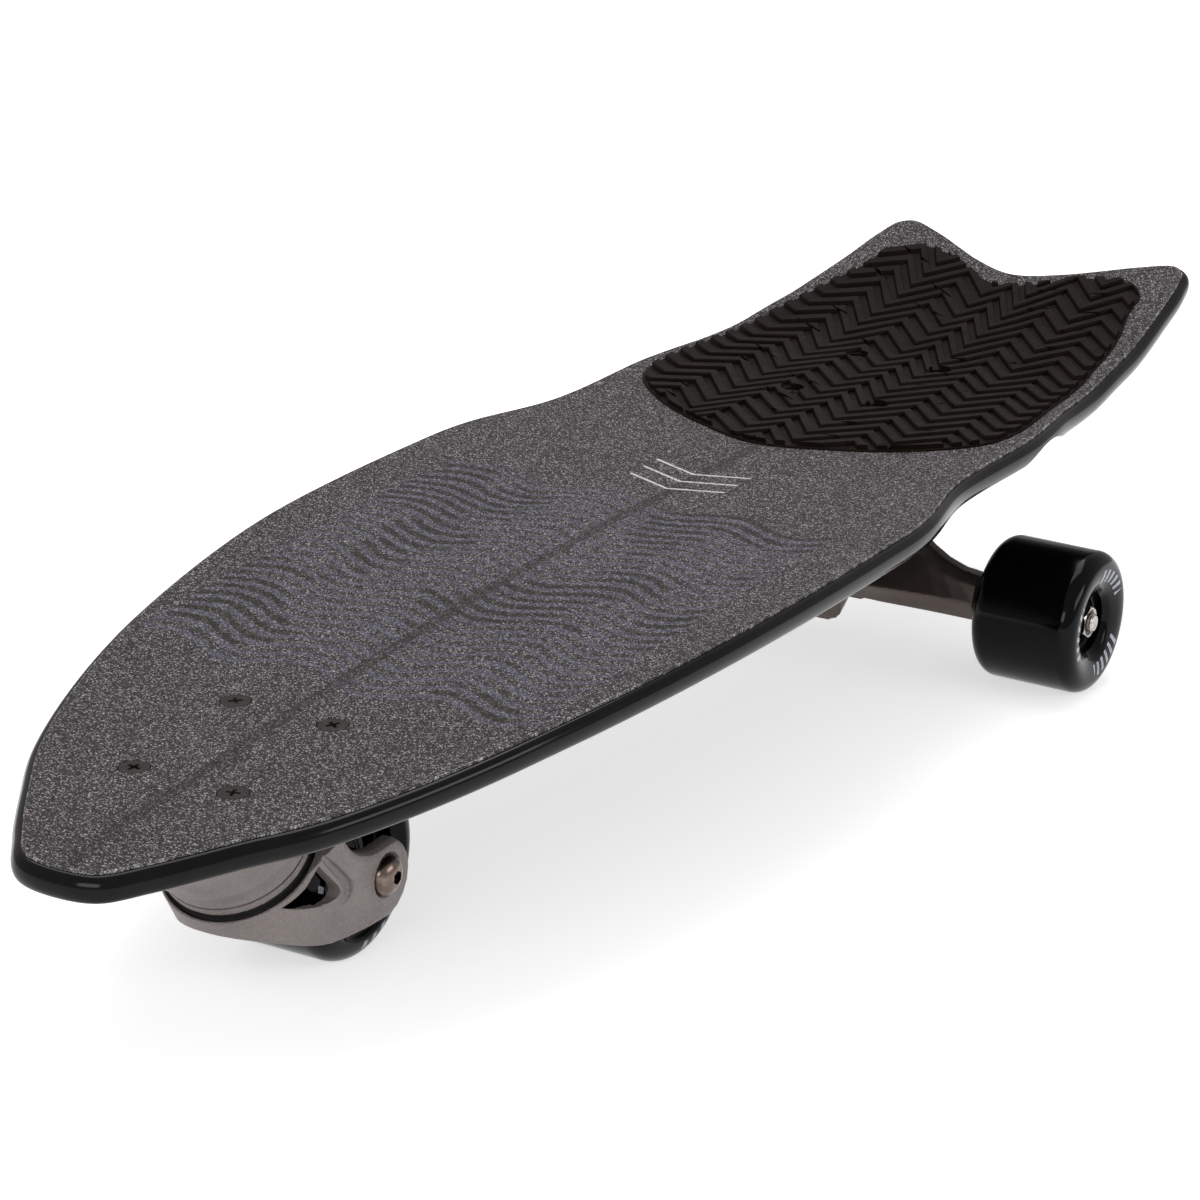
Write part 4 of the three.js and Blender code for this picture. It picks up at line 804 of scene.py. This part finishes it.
housing = turned_piece("swivel_casting", HOUSING_PROFILE, swivel_frame, cast_alloy, 160)
side_rooms = [box("side_room", (side * HOUSING_HALF_WIDTH, -REACH, -REACH),
                  (side * 2 * REACH, REACH, REACH), swivel_frame, cast_alloy) for side in (1, -1)]
deck_room = box("deck_room", (-REACH, -2 * REACH, 0), (REACH, 2 * REACH, 2 * REACH), swivel_seat,
                cast_alloy)
shape_with(housing, [*side_rooms, deck_room])
shape_with(housing, [prism("flange", rounded_plate_ring(FLANGE_HALF, FLANGE_CORNER),
                           [(-FLANGE_THICKNESS, 1), (-FLANGE_GAP, 1)], swivel_seat, cast_alloy)],
           "UNION")
cast_over(housing, cast_alloy, HOUSING_ROUNDS)
shape_with(housing, [cylinder("pin_room", PIN_ROOM, -1, 40, swivel_frame, cast_alloy, 64),
                     cylinder("bearing_seat", BEARING_SEAT, -1, BEARING_SEAT_TOP, swivel_frame,
                              cast_alloy, 96),
                     turned_piece("turned_groove", HOUSING_GROOVE, swivel_frame, cast_alloy, 160)])
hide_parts("swivel_housing")
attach(housing, "board")

# The fork is one alloy casting with the same blasted skin: a round crown under the slit, and
# two legs with a three-sided window in a recess, each ending in an eye for the axle bolt.
# Behind the window's wall the leg is hollow.
FORK_ROUNDS = 2
LEG_OUTSIDE = 34
LEG_WALL = 6.4
WINDOW_DEPTH = 19
RECESS_STEP = 1.3
RECESS_FLARE = 1.06
BEAD_GROOVE = 3
WINDOW = [(-15.4, -2), (-9.5, -2.7), (-4.5, -3.2), (0.5, -2.6), (4.3, -0.9), (5.2, -6),
          (6.5, -12), (7.6, -17.3), (7.4, -20.6), (4.9, -21.6), (1.2, -20), (-3.2, -16.2),
          (-7.8, -11.2), (-11.9, -6.8)]
HOLLOW = [(-14, -2.6), (-9.5, -2.7), (-4.5, -3.2), (0.5, -2.6), (4.3, -0.9), (6.4, -6),
          (8.6, -12), (10.4, -17.3), (9.9, -23), (4, -24.5), (-2.2, -22), (-7.2, -17.6),
          (-11, -12.4), (-13.6, -8)]
BEAD = [(-18, -0.8), (-9.5, 1), (0.5, 1), (6.2, 1), (7.2, -6), (8.3, -12), (9.2, -17.5),
        (8.7, -21.6), (4.7, -23.1), (0.6, -21), (-4.2, -16.9), (-8.7, -11.8), (-13, -7)]
WINDOW_RECESS = [(-19.6, -0.2), (-17, -4.8), (-13.4, -9.8), (-8.8, -15.6), (-2.6, -22),
                 (2.4, -26), (7, -27.8), (11.4, -26.4), (13.2, -22), (11.9, -14), (10, -6),
                 (8.2, 0.4), (5.2, 1.4), (0.5, -1.6), (-4.5, -2.3), (-9.5, -1.7)]
CROWN_GROOVE = [(20, -2.6), (28.6, -2.6), (29.1, -2), (29.1, 3), (20, 3)]
ON_LEG_SIDE = Matrix(((0, 0, 1, 0), (1, 0, 0, 0), (0, 1, 0, 0), (0, 0, 0, 1)))
leg_frame = swivel_frame @ ON_LEG_SIDE


def leg_cutter(name, ring, side, depth, flare=1.0, above=1):
    """A block on a leg's outer face, from above it to as deep as given."""
    return prism(name, ring, sorted([(side * (LEG_OUTSIDE + above), flare),
                                     (side * (LEG_OUTSIDE - depth), 1)]), leg_frame, cast_alloy)


fork = bpy.data.objects.new("fork_casting", frame["nodes"]["fork"].data.copy())
bpy.context.scene.collection.objects.link(fork)
for side in (1, -1):
    groove = leg_cutter("bead_groove", WINDOW_RECESS, side, BEAD_GROOVE)
    shape_with(groove, [leg_cutter("bead", BEAD, side, 2 * BEAD_GROOVE)])
    shape_with(fork, [leg_cutter("window_recess", WINDOW_RECESS, side, RECESS_STEP, RECESS_FLARE),
                      groove])
cast_over(fork, cast_alloy, FORK_ROUNDS)
shape_with(fork, [leg_cutter("window", WINDOW, side, WINDOW_DEPTH) for side in (1, -1)]
           + [leg_cutter("hollow", HOLLOW, side, WINDOW_DEPTH, above=-RECESS_STEP - LEG_WALL)
              for side in (1, -1)]
           + [turned_piece("crown_groove", CROWN_GROOVE, swivel_frame, cast_alloy, 160)])
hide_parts("fork")
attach(fork, "fork")

# A black rubber seal is pressed under the housing. It fills the slit down to the fork's crown
# and keeps grit out of the swivel's bearings.
SEAL_PROFILE = [(21.2, -2.2), (28.2, -2.2), (28.2, -0.9), (27.2, -0.4), (27, 1.9), (21.2, 1.9)]
dull_rubber, tree, shader = begin_finish("dull_rubber", specular=0.3)
paint(tree, shader, ramp(tree, noise(tree, 150, 4),
                         [(0.3, ink(18, 18, 19)), (0.7, ink(34, 32, 32))]))
polish(tree, shader, noise(tree, 300, 3), 0.6, 0.8)
texture_skin(tree, shader, noise(tree, 900, 3), 0.0003, 0.5)


def fit(made, node, body):
    """Puts a piece in its CAD node's place."""
    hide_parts(node)
    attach(made, body)


fit(turned_piece("slit_seal", SEAL_PROFILE, swivel_frame, dull_rubber, 120), "swivel_seal",
    "board")

# The front wheel turns on a bronzed steel button-head bolt with a hex socket, drawn up by a
# bright nut on the far side. Two sleeves space the wheel's bearings from the legs; they take
# the dark steel finish as painted shade for the deep shadow inside the wheel's hub.
BOLT_SEAT = 33.3
BOLT_END = -41
BOLT_CHAMFER = 0.6
BOLT_RADIUS = 4
BOLT_HEAD = 8
BOLT_HEAD_HEIGHT = 5.3
DOME_STEPS = 12
DOME_SHARE = 0.86
BOLT_SOCKET = 2.9
BOLT_SOCKET_DEPTH = 3.2
NUT_HEIGHT = 6
NUT_RADIUS = 7.3
SLEEVE = [(4.3, 15.3), (6.1, 15.3), (6.4, 15.6), (6.4, 26.2), (6.1, 26.5), (4.3, 26.5)]
HEX_TURN = math.pi / 3

bright_steel, tree, shader = begin_finish("bright_steel", metallic=1)
paint(tree, shader, ramp(tree, noise(tree, 260, 5),
                         [(0.3, ink(148, 141, 136)), (0.7, ink(192, 186, 180))]))
polish(tree, shader, noise(tree, 700, 4), 0.14, 0.34)
texture_skin(tree, shader, noise(tree, 1800, 2), 0.0001, 0.25)

bronzed_steel, tree, shader = begin_finish("bronzed_steel", metallic=1)
paint(tree, shader, ramp(tree, noise(tree, 300, 5),
                         [(0.3, ink(96, 83, 77)), (0.7, ink(132, 116, 108))]))
polish(tree, shader, noise(tree, 700, 4), 0.16, 0.3)
texture_skin(tree, shader, noise(tree, 1600, 2), 0.0001, 0.25)


def axle_frame(joint, x=0.0, side=1):
    """A frame on a wheel's axle: +Z runs outwards on that side."""
    at = place_of(joint)
    at.x = x
    return Matrix.Translation(at) @ Matrix.Rotation(side * math.pi / 2, 4, "Y")


def hexagon(radius):
    return [(radius * math.cos(i * HEX_TURN), radius * math.sin(i * HEX_TURN)) for i in range(6)]


def hex_nut(name, radius, bore, height, at, finish):
    """A nut with chamfered corners, from the frame's origin up its Z."""
    flat = 0.9 * radius
    made = turned_piece(name, [(bore, 0), (flat, 0), (radius, 0.09 * radius),
                               (radius, height - 0.09 * radius), (flat, height),
                               (bore + 0.5, height), (bore, height - 0.5)], at, finish, 72)
    shape_with(made, [prism("flats", hexagon(radius), [(-1, 1), (height + 1, 1)], at, finish)],
               "INTERSECT")
    return made


axle = axle_frame("front_wheel_spin")
dome = [(BOLT_HEAD * math.cos(turn), BOLT_SEAT + BOLT_HEAD_HEIGHT * math.sin(turn))
        for turn in (math.pi / 2 * DOME_SHARE * i / DOME_STEPS for i in range(DOME_STEPS + 1))]
bolt_profile = [(0, BOLT_END), (BOLT_RADIUS - BOLT_CHAMFER, BOLT_END),
                (BOLT_RADIUS, BOLT_END + BOLT_CHAMFER), (BOLT_RADIUS, BOLT_SEAT),
                (BOLT_HEAD, BOLT_SEAT), *dome, (0, dome[-1][1])]
bolt = turned_piece("front_bolt", bolt_profile, axle, bronzed_steel)
socket_floor = BOLT_SEAT + BOLT_HEAD_HEIGHT - BOLT_SOCKET_DEPTH
shape_with(bolt, [prism("socket", hexagon(BOLT_SOCKET), [(socket_floor, 0.9), (BOLT_SEAT + 9, 1)],
                        axle, bronzed_steel)])
fit(bolt, "front_axle_bolt", "fork")
far_side = Matrix.Translation((-BOLT_SEAT, 0, 0)) @ axle_frame("front_wheel_spin", 0, -1)
fit(hex_nut("front_bolt_nut", NUT_RADIUS, BOLT_RADIUS, NUT_HEIGHT, far_side, bright_steel),
    "front_axle_nut", "fork")
# painted shade: the sleeves are dark steel to stand in for the shadow in the hub
for side_name, side in (("left", 1), ("right", -1)):
    fit(turned_piece(f"front_sleeve_{side_name}", SLEEVE, axle_frame("front_wheel_spin", 0, side),
                     black_steel, 48), f"front_spacer_{side_name}", "fork")

# The wheels are poured urethane, gloss black, with a round lip and a shallow cone to the bore.
# A plain ring of short slanted strokes is printed on the outer face in a light blue-grey.
LIP_STEPS = 16
FACE_STEPS = 6
REAR_WHEEL_OUT = 98
STROKES = 30
STROKE_SLANT = 420
STROKE_GROUPS = 3
FRONT_PRINT = (0.0285, 0.0312)
REAR_PRINT = (0.0188, 0.0242)
PRINT_BEYOND = 0.012


def urethane(name, print_band, both_faces):
    """The finish of a wheel, in the wheel's own frame, with its Z on the axle."""
    finish, tree, shader = begin_finish(name, specular=0.13)
    black = ramp(tree, noise(tree, 30, 4), [(0.3, ink(3, 3, 4)), (0.7, ink(9, 8, 9))])
    x, y, z = (axis_of(tree, axis) for axis in "XYZ")
    radius = sums(tree, "SQRT", sums(tree, "MULTIPLY_ADD", x, x, sums(tree, "MULTIPLY", y, y)))
    turn = sums(tree, "ARCTAN2", y, x)
    stroke = sums(tree, "SINE", sums(tree, "MULTIPLY_ADD", turn, STROKES,
                                     sums(tree, "MULTIPLY", radius, STROKE_SLANT)))
    in_band = sums(tree, "MULTIPLY", sums(tree, "GREATER_THAN", radius, print_band[0]),
                   sums(tree, "LESS_THAN", radius, print_band[1]))
    group = sums(tree, "SINE", sums(tree, "MULTIPLY", turn, STROKE_GROUPS))
    arc = sums(tree, "GREATER_THAN", group, -0.1)
    face = sums(tree, "ABSOLUTE", z) if both_faces else z
    outer = sums(tree, "GREATER_THAN", face, PRINT_BEYOND)
    mask = sums(tree, "MULTIPLY", sums(tree, "MULTIPLY", in_band, arc),
                sums(tree, "MULTIPLY", outer, step_up(tree, stroke, 0.1, 0.3)))
    paint(tree, shader, mixed(tree, mask, black, ramp(tree, noise(tree, 900, 3), [
        (0.3, ink(140, 144, 154)), (0.6, ink(188, 192, 202))])))
    polish(tree, shader, noise(tree, 140, 5), 0.05, 0.14)
    texture_skin(tree, shader, noise(tree, 60, 3), 0.0002, 0.1)
    return finish


def wheel_piece(name, at, finish, radius, width, lip, mouth, throat, bore, room, cone):
    """A wheel that keeps its own frame. Beyond the core, which fills its bore to the half
    width given as room, a throat and a mouth open to a face that stands back by the cone."""
    half = width / 2
    face_end = radius - lip
    right = [(bore, room), (throat, room), (throat, half - cone - 2.5), (mouth, half - cone - 0.5),
             (mouth + 0.5, half - cone)]
    right += [(mouth + 0.5 + (face_end - mouth - 0.5) * i / FACE_STEPS,
               half - cone * (1 - math.sin(math.pi / 2 * i / FACE_STEPS)))
              for i in range(1, FACE_STEPS)]
    for i in range(LIP_STEPS + 1):
        turn = math.pi / 2 * i / LIP_STEPS
        right.append((face_end + lip * math.sin(turn), half - lip + lip * math.cos(turn)))
    profile = right + [(r, -h) for r, h in reversed(right)]
    made = turned_piece(name, profile, Matrix.Identity(4), finish, 160)
    made.matrix_world = Matrix.Translation(at.translation * MM) @ at.to_3x3().to_4x4()
    return made


front_urethane = urethane("front_urethane", FRONT_PRINT, True)
rear_urethane = urethane("rear_urethane", REAR_PRINT, False)
fit(wheel_piece("front_wheel_urethane", axle, front_urethane, radius=35.82, width=50, lip=8,
                mouth=25.5, throat=23, bore=24.3, room=15.3, cone=1.2),
    "front_tyre", "front_wheel")
for side_name, side in (("left", 1), ("right", -1)):
    outwards = axle_frame(f"rear_{side_name}_spin", side * REAR_WHEEL_OUT, side)
    fit(wheel_piece(f"rear_wheel_urethane_{side_name}", outwards, rear_urethane, radius=31.54,
                    width=49, lip=7, mouth=15, throat=13.4, bore=15.8, room=16.8, cone=2.4),
        f"rear_tyre_{side_name}", f"rear_wheel_{side_name}")

# Each wheel is poured round a moulded black core. The front one has a web with round holes
# between its hub and its rim. The sealed steel bearings are pressed into the cores, bright in
# the rear ones; the front wheel's take the dark steel finish as painted shade for the deep
# shadow in its hub. Half a core's outline is listed, then mirrored.
FRONT_CORE = [(8, 8), (11.3, 8), (11.3, 14.8), (11.6, 15), (13.6, 15), (14, 14.6), (14, 7.4),
              (14.4, 7), (21.1, 7), (21.5, 7.4), (21.5, 14.6), (21.9, 15), (24, 15)]
REAR_CORE = [(8, 5.5), (11.3, 5.5), (11.3, 16.1), (11.7, 16.5), (15.5, 16.5)]
CORE_HOLES = 10
CORE_HOLE = 3.4
CORE_HOLE_OUT = 17.75
FRONT_BEARING_OUT = 11.5
REAR_BEARINGS = (("inner", -9), ("outer", 9))
BEARING = [(4.3, -3.5), (5.6, -3.5), (5.8, -3.1), (9.2, -3.1), (9.4, -3.5), (10.7, -3.5),
           (11, -3.2), (11, 3.2), (10.7, 3.5), (9.4, 3.5), (9.2, 3.1), (5.8, 3.1), (5.6, 3.5),
           (4.3, 3.5)]

moulded_black, tree, shader = begin_finish("moulded_black", specular=0.25)
paint(tree, shader, ramp(tree, noise(tree, 120, 4),
                         [(0.3, ink(13, 13, 14)), (0.7, ink(26, 25, 26))]))
polish(tree, shader, noise(tree, 300, 3), 0.3, 0.5)
texture_skin(tree, shader, noise(tree, 1000, 2), 0.0002, 0.35)


def mirrored(right):
    return right + [(r, -h) for r, h in reversed(right)]


core = turned_piece("front_wheel_core", mirrored(FRONT_CORE), axle, moulded_black, 120)
for hole in range(CORE_HOLES):
    turn = 2 * math.pi * hole / CORE_HOLES
    spot = Matrix.Translation((CORE_HOLE_OUT * math.cos(turn), CORE_HOLE_OUT * math.sin(turn), 0))
    shape_with(core, [cylinder("core_hole", CORE_HOLE, -10, 10, axle @ spot, moulded_black, 32)])
fit(core, "front_core", "front_wheel")
for side_name, side in (("left", 1), ("right", -1)):
    # painted shade: the front bearings are dark steel for the shadow in the hub
    outwards = axle_frame("front_wheel_spin", side * FRONT_BEARING_OUT, side)
    fit(turned_piece(f"front_wheel_bearing_{side_name}", BEARING, outwards, black_steel, 72),
        f"front_bearing_{side_name}", "front_wheel")
    wheel = f"rear_wheel_{side_name}"
    outwards = axle_frame(f"rear_{side_name}_spin", side * REAR_WHEEL_OUT, side)
    fit(turned_piece(f"{wheel}_core", mirrored(REAR_CORE), outwards, moulded_black, 96),
        f"rear_core_{side_name}", wheel)
    for place_name, out in REAR_BEARINGS:
        fit(turned_piece(f"{wheel}_bearing_{place_name}", BEARING,
                         outwards @ Matrix.Translation((0, 0, out)), bright_steel, 72),
            f"rear_bearing_{side_name}_{place_name}", wheel)

# The hanger of the rear truck is a satin bronze-grey alloy casting: a ridge at the axle, arms
# that taper to the wheels, and a ring between the bushings. The baseplate is cast in the same.
HANGER_VOXEL = 0.65
HANGER_ROUNDS = 5

satin_alloy, tree, shader = begin_finish("satin_alloy", metallic=0.75, specular=0.4)
paint(tree, shader, ramp(tree, noise(tree, 60, 4, (0.2, 1, 1)),
                         [(0.3, ink(84, 75, 71)), (0.7, ink(110, 99, 94))]))
polish(tree, shader, noise(tree, 400, 3, (0.3, 1, 1)), 0.32, 0.5)
texture_skin(tree, shader, noise(tree, 1100, 3), 0.0002, 0.35)
for name, node, body in (("rear_hanger_casting", "rear_hanger", "hanger"),
                         ("rear_baseplate_casting", "rear_baseplate", "board")):
    made = bpy.data.objects.new(name, frame["nodes"][node].data.copy())
    bpy.context.scene.collection.objects.link(made)
    cast_over(made, satin_alloy, HANGER_ROUNDS, HANGER_VOXEL)
    fit(made, node, body)

# The axle is a bright steel rod pressed through the hanger. A washer on each side of a wheel's
# bearings and a lock nut with a dark nylon ring hold the wheel on.
AXLE_END = 120.1
AXLE_RADIUS = 4
AXLE_CHAMFER = 0.6
NUT_START = 112.1
LOCK_NUT_BORE = 5.4
NYLON_RING = [(4.02, 0.2), (5.38, 0.2), (5.38, 5.4), (4.02, 5.4)]
WASHERS = (("inner", 84.7), ("outer", 111.3))
WASHER = [(4.3, -0.5), (6.2, -0.5), (6.4, -0.3), (6.4, 0.3), (6.2, 0.5), (4.3, 0.5)]
rear_axle_at = axle_frame("rear_left_spin")
axle_profile = [(0, -AXLE_END), (AXLE_RADIUS - AXLE_CHAMFER, -AXLE_END),
                (AXLE_RADIUS, AXLE_CHAMFER - AXLE_END), (AXLE_RADIUS, AXLE_END - AXLE_CHAMFER),
                (AXLE_RADIUS - AXLE_CHAMFER, AXLE_END), (0, AXLE_END)]
fit(turned_piece("axle_rod", axle_profile, rear_axle_at, bright_steel, 48), "rear_axle",
    "hanger")
for side_name, side in (("left", 1), ("right", -1)):
    for place_name, out in WASHERS:
        fit(turned_piece(f"axle_washer_{side_name}_{place_name}", WASHER,
                         axle_frame("rear_left_spin", side * out, side), bright_steel, 48),
            f"{place_name}_washer_{side_name}", "hanger")
    nut_at = axle_frame("rear_left_spin", side * NUT_START, side)
    fit(hex_nut(f"lock_nut_{side_name}", NUT_RADIUS, LOCK_NUT_BORE, NUT_HEIGHT, nut_at,
                bright_steel),
        f"axle_nut_{side_name}", "hanger")
    ring = turned_piece(f"nylon_ring_{side_name}", NYLON_RING, nut_at, moulded_black, 48)
    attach(ring, "hanger")

# The kingpin is a black steel bolt through the hanger's ring, both rubber bushings and their
# bright cup washers, from its head in the baseplate to a nut below.
KINGPIN_TOP = 25.4
KINGPIN = [(0, -24.4), (4.3, -24.4), (4.8, -23.8), (4.8, KINGPIN_TOP), (0, KINGPIN_TOP)]
KINGPIN_NUT = -23.4
BUSHING_BORE = 5.1
BUSHING_WAIST = 11.0
BUSHING_FLARE = 1.2
BUSHING_ROUNDS = 8
CUP_RADIUS = 13
CUP_CHAMFER = 0.4
ring_frame = frame_on("rear_steer", Vector((0, 0, 1)), Vector((0, 1, 0)))


def bushing_profile(low, high):
    middle, half = (low + high) / 2, (high - low) / 2
    side = [(BUSHING_WAIST + BUSHING_FLARE * (i / BUSHING_ROUNDS) ** 2, half * i / BUSHING_ROUNDS)
            for i in range(-BUSHING_ROUNDS, BUSHING_ROUNDS + 1)]
    side = [(r - (0.5 if abs(h) == half else 0), h) for r, h in side]
    return [(BUSHING_BORE, low)] + [(r, middle + h) for r, h in side] + [(BUSHING_BORE, high)]


for name, node, low, high in (("board_side_bushing", "board_bushing", 3.3, 16.3),
                              ("road_side_bushing", "road_bushing", -14.3, -3.3)):
    fit(turned_piece(name, bushing_profile(low, high), ring_frame, dull_rubber, 72), node,
        "board")
for name, node, low, high in (("upper_cup", "upper_cup_washer", 16.6, 18.6),
                              ("lower_cup", "lower_cup_washer", -16.6, -14.6)):
    cup = [(BUSHING_BORE, low), (CUP_RADIUS - CUP_CHAMFER, low), (CUP_RADIUS, low + CUP_CHAMFER),
           (CUP_RADIUS, high - CUP_CHAMFER), (CUP_RADIUS - CUP_CHAMFER, high), (BUSHING_BORE, high)]
    fit(turned_piece(name, cup, ring_frame, bright_steel, 72), node, "board")
pin = turned_piece("kingpin_bolt", KINGPIN, ring_frame, black_steel, 48)
head_at = ring_frame @ Matrix.Translation((0, 0, KINGPIN_TOP))
shape_with(pin, [hex_nut("head", 7.8, 0.01, 6, head_at, black_steel)], "UNION")
fit(pin, "kingpin", "board")
nut_at = ring_frame @ Matrix.Translation((0, 0, KINGPIN_NUT))
fit(hex_nut("kingpin_lock_nut", 8.4, 4.8, 6.5, nut_at, black_steel), "kingpin_nut",
    "board")

# The riser block and the pivot's cup are black rubber. The swivel's pin and bearings and the
# nuts under the deck take the dark steel finish; on the nuts it is painted shade, where they
# sit in shadow. They keep their solids, with every edge broken.
EDGE_BREAK = 0.3
EDGE_FROM = math.radians(40)
# painted shade: the bright_steel slot is given the dark steel finish
finish_of_slot = {"bright_steel": black_steel, "black_rubber": dull_rubber}
for entry in frame["record"]["subparts"]:
    node = frame["nodes"][entry["node"]]
    if node.hide_render:
        continue
    node.data.materials.clear()
    node.data.materials.append(finish_of_slot[entry["material_slot"]])
    edges = node.modifiers.new("broken_edges", "BEVEL")
    edges.width = EDGE_BREAK * MM
    edges.segments = 2
    edges.limit_method = "ANGLE"
    edges.angle_limit = EDGE_FROM

# The floor is a plain white sheet. The lamps are soft boxes, level enough that a colour shows
# as it is written, and the sheet and the room behind it show white to the lens.
FLOOR_HALF = 6
FLOOR_COLOUR = (0.82, 0.82, 0.82, 1)
FLOOR_ROUGHNESS = 0.9
FLOOR_GLOW = 0.6
ROOM_LEVEL = 0.5

floor_paper, tree, shader = begin_finish("floor_paper")
shader.inputs["Base Color"].default_value = FLOOR_COLOUR
shader.inputs["Roughness"].default_value = FLOOR_ROUGHNESS
rays = tree.nodes.new("ShaderNodeLightPath")
seen = sums(tree, "MAXIMUM", rays.outputs["Is Camera Ray"], rays.outputs["Is Glossy Ray"])
seen = sums(tree, "MAXIMUM", seen, rays.outputs["Is Transmission Ray"])
glow = tree.nodes.new("ShaderNodeEmission")
tree.links.new(sums(tree, "MULTIPLY", seen, FLOOR_GLOW), glow.inputs["Strength"])
both = tree.nodes.new("ShaderNodeAddShader")
tree.links.new(shader.outputs["BSDF"], both.inputs[0])
tree.links.new(glow.outputs["Emission"], both.inputs[1])
tree.links.new(both.outputs["Shader"], tree.nodes["Material Output"].inputs["Surface"])
floor_corners = [(x * FLOOR_HALF / MM, y * FLOOR_HALF / MM, 0)
                 for x, y in ((-1, -1), (1, -1), (1, 1), (-1, 1))]
floor = new_piece("floor", floor_corners, [(0, 1, 2, 3)], floor_paper)

room = bpy.data.worlds.new("room")
room.use_nodes = True
bpy.context.scene.world = room
tree = room.node_tree
rays = tree.nodes.new("ShaderNodeLightPath")
seen = sums(tree, "MAXIMUM", rays.outputs["Is Camera Ray"], rays.outputs["Is Transmission Ray"])
tree.links.new(sums(tree, "MULTIPLY_ADD", seen, 1 - ROOM_LEVEL, ROOM_LEVEL),
               tree.nodes["Background"].inputs["Strength"])
tree.nodes["Background"].inputs["Color"].default_value = (1, 1, 1, 1)


def soft_box(name, spot, aim, size, power):
    lamp = bpy.data.lights.new(name, "AREA")
    lamp.shape = "RECTANGLE"
    lamp.size, lamp.size_y = size
    lamp.energy = power
    made = bpy.data.objects.new(name, lamp)
    made.location = spot
    made.rotation_euler = (Vector(aim) - Vector(spot)).to_track_quat("-Z", "Y").to_euler()
    bpy.context.scene.collection.objects.link(made)


soft_box("top_box", (-0.5, 0.5, 2.0), (0, 0, 0.1), (1.6, 1.6), 26)
soft_box("front_box", (0.3, -2.4, 0.9), (0, -0.2, 0.08), (1.4, 0.7), 16)
soft_box("side_box", (2.2, 0.3, 0.8), (0, 0.1, 0.08), (1.2, 0.5), 9)

bpy.context.scene.view_settings.view_transform = "Standard"
